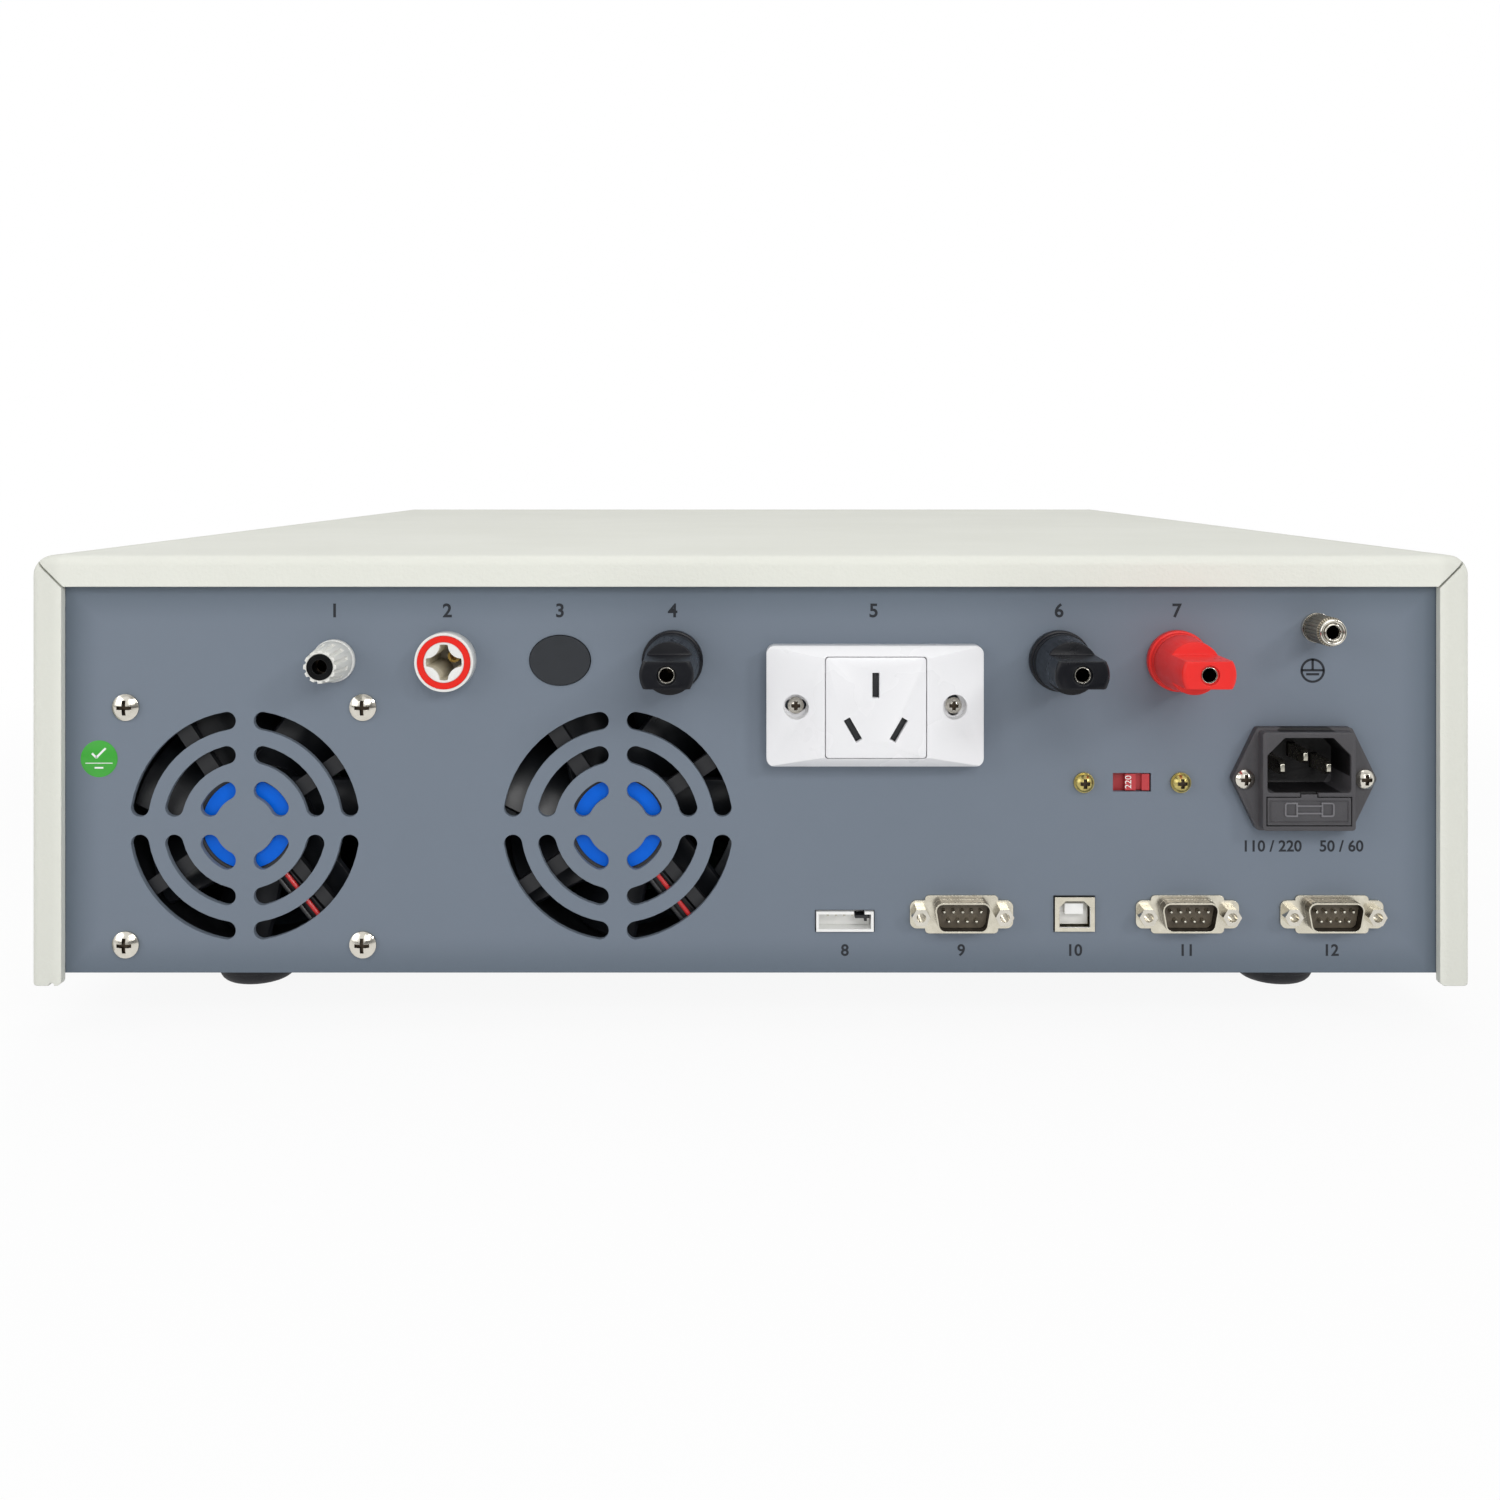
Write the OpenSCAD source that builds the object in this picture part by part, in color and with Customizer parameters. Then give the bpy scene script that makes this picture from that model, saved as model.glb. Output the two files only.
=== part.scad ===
// Bench electrical safety tester, seen from its connector side.
// The rear panel faces -Y, the operator's front faces +Y, and the feet stand on z = 0.
// The origin lies under the middle of the whole instrument.

/* [Case] */
// Width of the case over its side walls
case_w = 432; // [420:5:480]
// Depth of the case from the rear rim to the front bezel
case_d = 500; // [440:10:560]
// Height of the cover's side walls
case_h = 129; // [127:1:160]
// Thickness of the cover sheet
sheet_t = 1.5; // [1:0.1:2]
// Outer radius of the bends between the top and the sides
corner_r = 6; // [4:0.5:9]
// Outer radius of the bend into the rear rim
rim_bend_r = 3; // [2.2:0.1:3.8]
// Width of the folded rim along the sides
rim_side = 9.4; // [7:0.2:11]
// Width of the folded rim along the top
rim_top = 9.4; // [7:0.2:11]
// Thickness of the hemmed rim in front of the rear panel
rim_t = 2.7; // [2.2:0.1:4]
// Width of the open mitre at each rim corner
mitre_gap = 0.6; // [0.3:0.1:1]
// Diameter of the bend relief at the lower left rim corner
relief_d = 1.8; // [1:0.2:3]
// How far the cover's sides hang below the tray
skirt = 3; // [1:0.5:6]
// Thickness of the tray and panel sheet
panel_t = 2; // [1.5:0.1:2.5]
// Height of the tray's upturned side flanges
tray_lip = 20; // [18:1:30]
// Gap between sheets and parts that lie against each other
seat_gap = 0.3; // [0.2:0.05:0.4]
// Number of ventilation slots in each side
vent_count = 14; // [6:1:18]
// Spacing of the ventilation slots
vent_step = 8; // [6:1:10]
// Length of one ventilation slot
vent_len = 40; // [20:2:60]
// Width of one ventilation slot
vent_w = 3; // [2:0.2:3.6]
// Distance of the first ventilation slot behind the front bezel
vent_in = 40; // [30:5:80]

/* [Feet] */
// Diameter of a rubber foot at its top
foot_d = 30; // [20:1:36]
// Height of a rubber foot
foot_h = 18; // [12:1:25]
// How much narrower a foot is at its bottom
foot_taper = 5; // [0:0.5:8]
// Distance of the feet's axes from the case's sides
foot_side_in = 46; // [30:5:65]
// Distance of the rear feet from the rear rim
foot_rear_in = 55; // [35:5:90]
// Distance of the front feet from the front bezel face
foot_front_in = 60; // [40:5:90]

/* [Fans] */
// Width and height of a fan frame
fan_size = 80; // [76:0.5:82]
// Depth of a fan frame
fan_depth = 25; // [20:1:32]
// Spacing of the fan's fixing holes
fan_pitch = 71.5; // [68:0.5:72]
// Inner diameter of the fan frame
fan_bore = 76; // [70:0.5:77]
// Diameter of the fan hub
hub_d = 33; // [28:1:38]
// Radial clearance round the fan blades
blade_gap = 1; // [0.6:0.1:1.5]
// Number of fan blades
blade_count = 7; // [5:1:9]
// Angle of the fan blades from the fan's plane
blade_angle = 38; // [30:1:45]
// Diameter of the fan shaft
shaft_d = 3; // [2:0.5:4]
// Radial clearance of the fan shaft in its sleeve
shaft_gap = 0.05; // [0.02:0.01:0.08]
// Place of the first fan across the panel
fan_1_u = -152.6; // [-155:0.2:-150]
// Place of the second fan across the panel
fan_2_u = -40.1; // [-44:0.1:-36]
// Height of the fan centres above the tray's underside
fan_up = 44.3; // [43:0.1:50]
// Width of the spokes left between the grille slots
spoke_w = 5.4; // [4:0.1:8]
// Outer radius of the outer slot ring
ring_r = 34.8; // [33:0.1:36]
// Radial width of a grille slot
slot_w = 5.5; // [4:0.1:6]
// Radial spacing of the slot rings
ring_step = 10.1; // [9:0.05:11]

/* [Terminals] */
// Distance of the terminal row below the top of the case
row_down = 31.8; // [30:0.2:36]
// Spacing of the terminals in the left group
row_pitch = 34; // [30:0.5:36]
// Place of the first terminal, the return jack
return_u = -125.5; // [-130:0.5:-122]
// Place of the neutral post
neutral_u = 93; // [92:0.5:96]
// Place of the live post
live_u = 128.5; // [126:0.5:130]
// Diameter of a current post's base
post_d = 18.4; // [16:0.2:20]
// Length of a current post from the panel to its nose
post_len = 34; // [30:1:40]
// Length of a current post's fixed base
post_base_len = 5; // [4:0.5:7]
// Width of the bar grip across a post's nose
grip_w = 15.4; // [14:0.2:18]
// Height of the bar grip
grip_h = 7.8; // [7.5:0.1:10]
// Length of the bar grip
grip_len = 15; // [10:1:18]
// Diameter of a post's brass stem
stem_d = 5.4; // [5.2:0.1:6]
// Bore that takes a four millimetre plug
plug_bore = 4; // [3.9:0.1:4.2]
// Depth of the plug bore
plug_depth = 20; // [12:1:22]
// How far a screw cap travels outward when it is opened
cap_travel = 6; // [3:0.5:8]
// Diameter of the return jack's cap
return_d = 12.2; // [11:0.2:14]
// Length of the return jack from the panel
return_len = 16; // [14:1:20]
// Number of flutes round the return jack's cap
flute_count = 12; // [8:1:16]
// Diameter of the high voltage socket
hv_d = 17.6; // [17:0.2:20]
// How far the high voltage socket stands out
hv_out = 5.5; // [4:0.5:8]
// Depth of the high voltage socket's plug hole
hv_depth = 22; // [15:1:30]
// Width of the blanking plug
blank_w = 18.3; // [16:0.1:20]
// Height of the blanking plug
blank_h = 15; // [14:0.1:18]
// Place of the earth post across the panel
earth_u = 170.4; // [160:0.2:175]
// Distance of the earth post below the top of the case
earth_down = 21.9; // [21:0.1:26]
// Length of the earth post from the panel
earth_len = 14.2; // [13:0.2:20]
// Diameter of the earth post's knurled nut
earth_d = 8.6; // [8:0.2:10]

/* [Outlet] */
// Place of the mains outlet across the panel
outlet_u = 37.1; // [35:0.1:38]
// Distance of the outlet's centre below the top of the case
outlet_down = 44.8; // [42:0.2:46]
// Width of the outlet plate
outlet_w = 64.8; // [62:0.1:68]
// Height of the outlet plate
outlet_h = 36; // [34:0.2:39]
// How far the outlet plate stands out
outlet_out = 9; // [7:0.5:12]
// Width of the square socket insert
insert_w = 29.8; // [28:0.2:31]
// Width of the outlet's contact slots
slot_t = 2.1; // [1.8:0.1:2.6]
// Length of the outlet's contact slots
slot_l = 7.5; // [6.5:0.1:8]
// Spacing of the outlet's fixing screws
outlet_pitch = 47.2; // [46:0.2:50]

/* [Inlet] */
// Place of the mains inlet across the panel
inlet_u = 166; // [165:0.2:169]
// Height of the inlet's centre above the tray's underside
inlet_up = 59; // [56:0.2:60]
// Width of the inlet's six sided flange
inlet_w = 43.4; // [43:0.2:48]
// Height of the inlet's flange and block
inlet_h = 30.8; // [30:0.2:34]
// Width of the inlet's raised block
block_w = 27.6; // [27:0.2:30]
// Spacing of the inlet's fixing screws
inlet_pitch = 36; // [35.2:0.2:37]
// Width of the plug cavity
cavity_w = 24.9; // [24:0.1:25.5]
// Height of the plug cavity
cavity_h = 16.4; // [16:0.1:16.6]
// Depth of the plug cavity
cavity_depth = 16; // [12:0.5:18]
// Height of the fuse drawer
drawer_h = 8.2; // [7.8:0.1:8.4]
// How far the fuse drawer pulls out
drawer_travel = 18; // [10:1:19]

/* [Selector] */
// Place of the voltage selector across the panel
selector_u = 115; // [112:0.2:117]
// Height of the selector above the tray's underside
selector_up = 57.4; // [54:0.2:60]
// Width of the selector's window
window_w = 11.5; // [10:0.1:13]
// Height of the selector's window
window_h = 5.6; // [5:0.1:7]
// Travel of the selector's slider
selector_travel = 3.4; // [2:0.1:4]
// Spacing of the selector's fixing screws
selector_pitch = 29.2; // [27:0.2:31]

/* [Ports] */
// Height of the port row above the tray's underside
port_up = 17.8; // [16:0.1:20]
// Height of the signal header above the tray's underside
header_up = 15.6; // [14:0.1:17]
// Place of the signal header across the panel
header_u = 28.4; // [24:0.2:30]
// Width of the signal header's shroud
header_w = 17.3; // [15:0.1:19]
// Height of the signal header's shroud
header_h = 6; // [5.6:0.1:7]
// Place of the first nine way port
port_1_u = 63.5; // [60:0.5:66]
// Place of the square data port
data_u = 97.6; // [96:0.2:99]
// Place of the second nine way port
port_2_u = 131.5; // [130:0.5:132]
// Place of the third nine way port
port_3_u = 175; // [170:0.5:178]
// Width of a nine way port's flange
port_w = 31; // [30:0.1:31.5]
// Height of a nine way port's flange
port_h = 11.4; // [11:0.1:12]
// Spacing of a nine way port's jackscrews
jack_pitch = 25; // [24.8:0.1:25.2]
// Spacing of a nine way port's contacts
pin_pitch = 2.76; // [2.7:0.01:2.8]
// Diameter of a nine way port's contacts
pin_d = 1; // [0.9:0.05:1.1]
// Width of the square data port
data_w = 12; // [11.6:0.1:12.4]
// Height of the square data port
data_h = 10.3; // [10:0.1:11.4]

/* [Front] */
// Depth of the front bezel
bezel_d = 14; // [10:1:20]
// Width of the front bezel's frame
bezel_w = 9; // [7:0.5:12]
// How far the front panel lies behind the bezel's face
front_recess = 1.5; // [0.5:0.5:3]
// Thickness of the front panel
front_t = 3; // [2:0.5:4]
// Width of the touch display's window
display_w = 158; // [140:2:170]
// Height of the touch display's window
display_h = 92; // [80:1:96]
// Thickness of the display's glass
glass_t = 2; // [1.5:0.1:2.5]
// Place of the display left of the front's middle
display_u = 88; // [80:1:95]
// Diameter of the start and stop buttons
button_d = 22; // [18:1:24]
// How far the start and stop buttons stand out
button_out = 6; // [3:0.5:8]
// Travel of the start and stop buttons
button_travel = 3; // [1:0.5:4]
// Place of the start button right of the front's middle
button_u = 72; // [60:1:80]
// Spacing of the start and stop buttons
button_pitch = 44; // [36:1:56]
// Height of the buttons above the front's middle
button_up = 22; // [10:1:28]
// Width of the power rocker's frame
rocker_w = 21; // [18:0.5:23]
// Height of the power rocker's frame
rocker_h = 28; // [24:0.5:30]
// Distance of the power rocker's axis from the case's side
rocker_side_in = 37; // [33:1:50]
// How far the rocker tilts to each side
rocker_tilt = 10; // [6:1:14]

/* [Inside] */
// Thickness of the circuit boards
board_t = 1.6; // [1.2:0.1:2]
// Width of the main board
board_w = 230; // [180:5:240]
// Depth of the main board
board_l = 190; // [120:5:220]
// Height of the standoffs under the main board
standoff_h = 6; // [5:0.5:7]
// Width of the power transformer's core
core_w = 96; // [80:1:100]
// Height of the power transformer's core
core_h = 80; // [66:1:82]
// Stack depth of the power transformer's core
core_l = 56; // [40:1:70]
// Width of the high voltage transformer's potted case
potted_w = 80; // [60:1:90]
// Height of the high voltage transformer's potted case
potted_h = 70; // [50:1:80]
// Number of fins on the heat sink
fin_count = 12; // [6:1:14]
// Height of the heat sink
sink_h = 50; // [30:1:60]

/* [Fasteners] */
// Diameter of a fan screw's head
fan_head_d = 8.1; // [7.6:0.1:8.4]
// Diameter of a fan screw's shank
fan_shank_d = 4; // [3:0.1:4.2]
// Diameter of a small panel screw's head
small_head_d = 5.8; // [5.2:0.1:6]
// Diameter of a small panel screw's shank
small_shank_d = 3; // [2.5:0.1:3.2]
// Radial clearance of a screw in its hole
hole_gap = 0.2; // [0.1:0.05:0.3]
// Width of the arms of a cross recess
recess_w = 1.1; // [0.8:0.1:1.3]

/* [Hidden] */
$fn = 64;
// A hair of extra depth that keeps cuts clear of flush faces
eps = 0.01;

// Heights of the case's main faces
z_tray = foot_h;
z_leg = z_tray - skirt;
z_top = z_leg + case_h;
z_mid = z_leg + case_h / 2;
z_floor = z_tray + panel_t;
z_row = z_top - row_down;
z_earth = z_top - earth_down;
z_outlet = z_top - outlet_down;
z_fan = z_tray + fan_up;
z_inlet = z_tray + inlet_up;
z_selector = z_tray + selector_up;
z_port = z_tray + port_up;
z_header = z_tray + header_up;

// Depths of the case's main faces, balanced about y = 0 over posts and buttons
panel_recess = rim_t + seat_gap;
rear_out = post_len - panel_recess;
front_out = button_out - front_recess;
y_rim = rear_out - (rear_out + case_d + front_out) / 2;
y_panel = y_rim + panel_recess;
y_inside = y_panel + panel_t;
y_front = y_rim + case_d;
y_bezel = y_front - bezel_d;
y_face = y_front - front_recess;

// Sizes shared by pieces that fit together
tray_w = case_w - 2 * (sheet_t + seat_gap);
mitre_len = rim_side + corner_r;
leg_r = 1.6;
fan_centres = [fan_1_u, fan_2_u];
fan_flange_t = 4;
strut_t = 3.5;
rotor_r = fan_bore / 2 - blade_gap;
current_low_u = return_u + 3 * row_pitch;
hv_u = return_u + row_pitch;
blank_u = return_u + 2 * row_pitch;
port_centres = [port_1_u, port_2_u, port_3_u];
outlet_recess_d = 7.4;
head_h = 2.2;
wall_t = 1.6;

// Places along the panels were measured on a case layout_w wide and spread with the real one
layout_w = 432;
function across(u) = u * case_w / layout_w;

// Local frame on the rear panel: x across, y up, z outward
module on_rear(u, z) {
    translate([across(u), y_panel, z]) rotate([90, 0, 0]) children();
}

// Local frame on the front panel, as the operator sees it
module on_front(u, z) {
    translate([-u, y_face, z]) rotate([90, 0, 180]) children();
}

// A flat outline drawn in x and z, drawn out from y0 to y1
module along_y(y0, y1) {
    translate([0, y1, 0]) rotate([90, 0, 0]) linear_extrude(y1 - y0) children();
}

// A round bar or hole along z
module rod(d, z0, z1) {
    translate([0, 0, z0]) cylinder(d = d, h = z1 - z0);
}

// A box centred on x and y
module block(w, h, z0, z1) {
    translate([-w / 2, -h / 2, z0]) cube([w, h, z1 - z0]);
}

// The two mirror images of a piece across x
module pair() {
    for (s = [0, 1]) mirror([s, 0, 0]) children();
}

// A slot with round ends along x
module slot(l, w) {
    square([l - w, w], center = true);
    for (s = [-1, 1]) translate([s * (l - w) / 2, 0]) circle(d = w);
}

// A rectangle with round corners
module round_rect(w, h, r) {
    square([w, h - 2 * r], center = true);
    square([w - 2 * r, h], center = true);
    for (x = [-1, 1]) for (y = [-1, 1]) translate([x * (w / 2 - r), y * (h / 2 - r)]) circle(r);
}

// A low domed screw head standing on z = 0
module pan_head(d, h) {
    cap = 0.65 * h;
    ball = (d * d / 4 + cap * cap) / (2 * cap);
    intersection() {
        cylinder(d = d, h = h);
        translate([0, 0, h - ball]) sphere(ball);
    }
}

// A domed screw with a cross recess, its head on z = 0
module pan_screw(d, shank_d, shank_l) {
    difference() {
        union() {
            pan_head(d, head_h);
            rod(shank_d, -shank_l, eps);
        }
        for (a = [0, 90]) rotate(a) block(0.55 * d, recess_w, 0.45 * head_h, head_h + eps);
    }
}

// The part's outline seen from the rear, drawn in by an inset, open at the bottom
module case_outline(inset, low) {
    w = case_w - 2 * inset;
    r = corner_r - inset;
    top = z_top - inset;
    translate([-w / 2, low]) square([w, top - r - low]);
    translate([r - w / 2, low]) square([w - 2 * r, top - low]);
    for (s = [-1, 1]) translate([s * (w / 2 - r), top - r]) circle(r);
}

// The corner left over outside a quarter round
module edge_profile(r) {
    difference() {
        square([r + 1, r + 1]);
        circle(r);
    }
}

// Cuts that round the rim's outer edge along both sides, both corners and the top
module rim_edge_cuts(r) {
    pair() {
        translate([case_w / 2 - r, y_rim + r, z_leg - 1])
            linear_extrude(case_h - corner_r + 1) mirror([0, 1]) edge_profile(r);
        translate([case_w / 2 - corner_r, y_rim + r, z_top - corner_r])
            rotate([90, 0, 0]) rotate_extrude(angle = 90) translate([corner_r - r, 0]) edge_profile(r);
    }
    translate([corner_r - case_w / 2, y_rim + r, z_top - r])
        rotate([0, -90, 180]) linear_extrude(case_w - 2 * corner_r) edge_profile(r);
}

module top_cover() color("#dcdcd6") {
    y_end = y_bezel - seat_gap;
    difference() {
        union() {
            difference() {
                along_y(y_rim, y_end) case_outline(0, z_leg);
                along_y(y_rim - 1, y_end + 1) case_outline(sheet_t, z_leg - 1);
            }
            along_y(y_rim, y_rim + rim_t) difference() {
                case_outline(0, z_leg);
                translate([rim_side - case_w / 2, z_leg - 1])
                    square([case_w - 2 * rim_side, case_h - rim_top + 1]);
            }
        }
        rim_edge_cuts(rim_bend_r);
        pair() {
            // Open mitre through the rim's corner, a little deeper than the rim's bend
            translate([case_w / 2 - rim_side, y_rim - 1, z_top - rim_top])
                rotate([0, -45, 0]) translate([-1, 0, -mitre_gap / 2])
                    cube([mitre_len, rim_bend_r + 1.5, mitre_gap]);
            // Rounded lower ends of the rim's legs
            for (s = [0, 1]) translate([case_w / 2 - rim_side / 2, 0, z_leg]) mirror([s, 0, 0])
                along_y(y_rim - 1, y_rim + rim_t) translate([rim_side / 2 - leg_r, leg_r]) mirror([0, 1])
                    edge_profile(leg_r);
        }
        // Bend relief in the lower left leg
        translate([rim_side - 3 - case_w / 2, 0, z_leg])
            along_y(y_rim - 1, y_rim + rim_t + 1) circle(d = relief_d);
        for (i = [0 : vent_count - 1]) translate([-case_w / 2 - 1, y_bezel - vent_in - i * vent_step, z_mid])
            rotate([0, 90, 0]) linear_extrude(case_w + 2) slot(vent_len, vent_w);
        cover_screw_places() rod(cover_shank_d + 2 * hole_gap, -4, 1);
    }
}

// Three screws along the foot of each side
cover_head_d = 7.5;
cover_shank_d = 4;
cover_screw_up = 10;
module cover_screw_places() {
    for (y = [y_rim + 40, (y_rim + y_bezel) / 2, y_bezel - 30]) for (s = [-1, 1])
        translate([s * case_w / 2, y, z_tray + cover_screw_up]) rotate([0, s * 90, 0]) children();
}

module cover_screws() color("silver") {
    cover_screw_places() pan_screw(cover_head_d, cover_shank_d, 7);
}

module bottom_tray() color("#78828c") {
    y0 = y_inside + seat_gap;
    y1 = y_bezel - seat_gap;
    difference() {
        union() {
            translate([-tray_w / 2, y0, z_tray]) cube([tray_w, y1 - y0, panel_t]);
            pair() translate([tray_w / 2 - panel_t, y0, z_tray]) cube([panel_t, y1 - y0, tray_lip]);
            translate([-tray_w / 2, y1 - panel_t, z_tray]) cube([tray_w, panel_t, tray_lip]);
            board_places() rod(6, z_floor - eps, z_floor + standoff_h);
        }
        foot_places() rod(foot_shank_d + 2 * hole_gap, -1, panel_t + 1);
        cover_screw_places() rod(cover_shank_d + 2 * hole_gap, -4 - panel_t, 1);
    }
}

// Four feet, two behind the front bezel and two ahead of the rear rim, a little to one side
foot_shank_d = 4;
foot_counter_d = 10;
foot_counter_l = 7;
foot_edge_r = 4;
foot_aside = 5;
module foot_places() {
    for (x = [-1, 1]) for (y = [y_rim + foot_rear_in, y_front - foot_front_in])
        translate([x * (case_w / 2 - foot_side_in) + foot_aside, y, z_tray]) children();
}

module rubber_feet() color("#17171c") {
    low_r = (foot_d - foot_taper) / 2;
    foot_places() difference() {
        rotate_extrude() difference() {
            polygon([[0, -foot_h], [low_r, -foot_h], [foot_d / 2, 0], [0, 0]]);
            translate([low_r - foot_edge_r, foot_edge_r - foot_h]) mirror([0, 1]) edge_profile(foot_edge_r);
        }
        rod(foot_counter_d, -foot_h - 1, foot_counter_l - foot_h);
        rod(foot_shank_d + 2 * hole_gap, -foot_h, 1);
    }
}

module foot_screws() color("silver") {
    foot_places() translate([0, 0, foot_counter_l - foot_h]) rotate([180, 0, 0])
        pan_screw(foot_counter_d - 2, foot_shank_d, foot_h - foot_counter_l + panel_t + 4);
}

// One quarter of a grille ring, a curved slot with round ends
module arc_slot(r, z0, z1) {
    inset = asin((spoke_w + slot_w) / 2 / r);
    rotate(inset) rotate_extrude(angle = 90 - 2 * inset)
        translate([r - slot_w / 2, z0]) square([slot_w, z1 - z0]);
    for (a = [inset, 90 - inset]) rotate(a) translate([r, 0, 0]) rod(slot_w, z0, z1);
}

module grille(z0, z1) {
    for (ring = [0 : 2]) for (q = [0 : 3])
        rotate(90 * q) arc_slot(ring_r - slot_w / 2 - ring * ring_step, z0, z1);
}

module fan_hole_places() {
    for (x = [-1, 1]) for (y = [-1, 1]) translate([x * fan_pitch / 2, y * fan_pitch / 2, 0]) children();
}

// An oval outline worked out from its two widths
module oval(w, h) {
    polygon([for (a = [0 : 7.5 : 359]) [w / 2 * cos(a), h / 2 * sin(a)]]);
}

// A polygon's points with each corner turned into an arc of n flats
function unit(v) = v / norm(v);
function arc_corner(a, b, c, r, n) =
    let (u = unit(a - b), v = unit(c - b), half = acos(u * v) / 2)
    let (centre = b + unit(u + v) * r / sin(half), t = r / tan(half))
    let (p = b + u * t - centre, q = b + v * t - centre)
    [for (i = [0 : n]) centre + r * unit(p * (n - i) + q * i)];
function round_points(pts, r, n = 5) =
    [for (i = [0 : len(pts) - 1])
        each arc_corner(pts[(i + len(pts) - 1) % len(pts)], pts[i], pts[(i + 1) % len(pts)], r, n)];

// The D shaped outline of a nine way port, wide side up
port_slope = 10;
module port_outline(w, h, r) {
    lean = h * tan(port_slope);
    polygon(round_points([[-w / 2, h / 2], [w / 2, h / 2],
        [w / 2 - lean, -h / 2], [lean - w / 2, -h / 2]], r));
}

// The panel's side flanges stand over the tray's own
flange_l = 14;
flange_gap = 4;
flange_down = 17;
module rear_panel() color("#737d89") {
    cut0 = -panel_t - 1;
    difference() {
        union() {
            along_y(y_panel, y_inside) case_outline(sheet_t + seat_gap, z_tray);
            pair() translate([tray_w / 2 - panel_t, y_panel, z_tray + tray_lip + flange_gap])
                cube([panel_t, flange_l, z_top - flange_down - z_tray - tray_lip - flange_gap]);
        }
        for (u = fan_centres) on_rear(u, z_fan) grille(cut0, 1);
        on_rear(fan_1_u, z_fan) fan_hole_places() rod(fan_shank_d + 2 * hole_gap, cut0, 1);
        on_rear(return_u, z_row) rod(return_neck_d + 2 * hole_gap, cut0, 1);
        on_rear(hv_u, z_row) rod(hv_neck_d + 2 * hole_gap, cut0, 1);
        on_rear(blank_u, z_row) translate([0, 0, cut0]) linear_extrude(panel_t + 2)
            oval(blank_w + 2 * hole_gap, blank_h + 2 * hole_gap);
        for (u = [current_low_u, neutral_u, live_u]) on_rear(u, z_row)
            rod(post_neck_d + 2 * hole_gap, cut0, 1);
        on_rear(earth_u, z_earth) rod(earth_stem_d + 2 * hole_gap, cut0, 1);
        on_rear(outlet_u, z_outlet)
            block(outlet_body_w + 2 * seat_gap, outlet_body_w + 2 * seat_gap, cut0, 1);
        on_rear(inlet_u, z_inlet)
            block(inlet_body_w + 2 * seat_gap, inlet_body_h + 2 * seat_gap, cut0, 1);
        on_rear(selector_u, z_selector) block(window_w, window_h, cut0, 1);
        panel_screw_places() rod(small_shank_d + 2 * hole_gap, cut0 - outlet_out, 1);
        selector_screw_places() rod(small_shank_d + 2 * hole_gap, cut0, 2);
        on_rear(header_u, z_header) block(header_w + 2 * seat_gap, header_h + 2 * seat_gap, cut0, 1);
        for (u = port_centres) on_rear(u, z_port) {
            translate([0, 0, cut0]) linear_extrude(panel_t + 2)
                port_outline(port_body_w + 0.6, port_body_h + 0.6, 1.8);
            for (s = [-1, 1]) translate([s * jack_pitch / 2, 0, 0])
                rod(small_shank_d + 2 * hole_gap, cut0, 1);
        }
        on_rear(data_u, z_port) block(data_w + 2 * seat_gap, data_h + 2 * seat_gap, cut0, 1);
    }
}

// Fans, worked in a frame on the panel with the fan's outer face at z = fan_z
fan_z = -panel_t - seat_gap;
fan_back = fan_z - fan_depth;
strut_angles = [34, 124, 214, 306];
strut_w = 5;
strut_in = 0.3;
strut_h = strut_t - strut_in;
lead_way_w = 4.2;
lead_d = 1.4;
lead_step = 1.8;
lead_floor = -lead_d - 0.1;
hub_t = 4;
sleeve_d = 20;
cup_wall = 1.6;
rotor_z0 = fan_back + 1.5;
rotor_z1 = fan_z - hub_t - 0.8;
blade_t = 1.3;
blade_camber_r = 38;
shaft_end = fan_z - 1.5;

module fan_frames() color("#1b1c1f") {
    for (u = fan_centres) on_rear(u, z_fan) {
        difference() {
            union() {
                difference() {
                    union() {
                        for (z = [fan_back, fan_z - fan_flange_t]) translate([0, 0, z])
                            linear_extrude(fan_flange_t) round_rect(fan_size, fan_size, 4);
                        rod(fan_bore + 2 * wall_t, fan_back, fan_z);
                    }
                    rod(fan_bore, fan_back - 1, fan_z + 1);
                    fan_hole_places() rod(fan_shank_d + 2 * hole_gap, fan_back - 1, fan_z + 1);
                }
                rod(hub_d + 1, fan_z - hub_t, fan_z - strut_in);
                rod(sleeve_d, rotor_z0 + cup_wall + 1, fan_z - hub_t + eps);
                for (i = [0 : 3]) rotate(strut_angles[i])
                    translate([hub_d / 2, -strut_w / 2, fan_z - strut_t])
                        cube([(fan_bore - hub_d) / 2 + 0.5, strut_w, strut_h + (i == 3 ? lead_floor : 0)]);
            }
            rod(shaft_d + 2 * shaft_gap, rotor_z0, shaft_end + 0.5);
            // Way out for the lead over the ring and through both flanges
            rotate(strut_angles[3]) {
                translate([fan_bore / 2 + wall_t + 1, 0, 0])
                    block(2.8, lead_way_w, fan_back - 1, fan_z + 1);
                translate([fan_bore / 2 + 1.5, 0, 0])
                    block(5, lead_way_w, fan_z + lead_floor - 0.5, fan_z + 1);
            }
        }
    }
}

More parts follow.
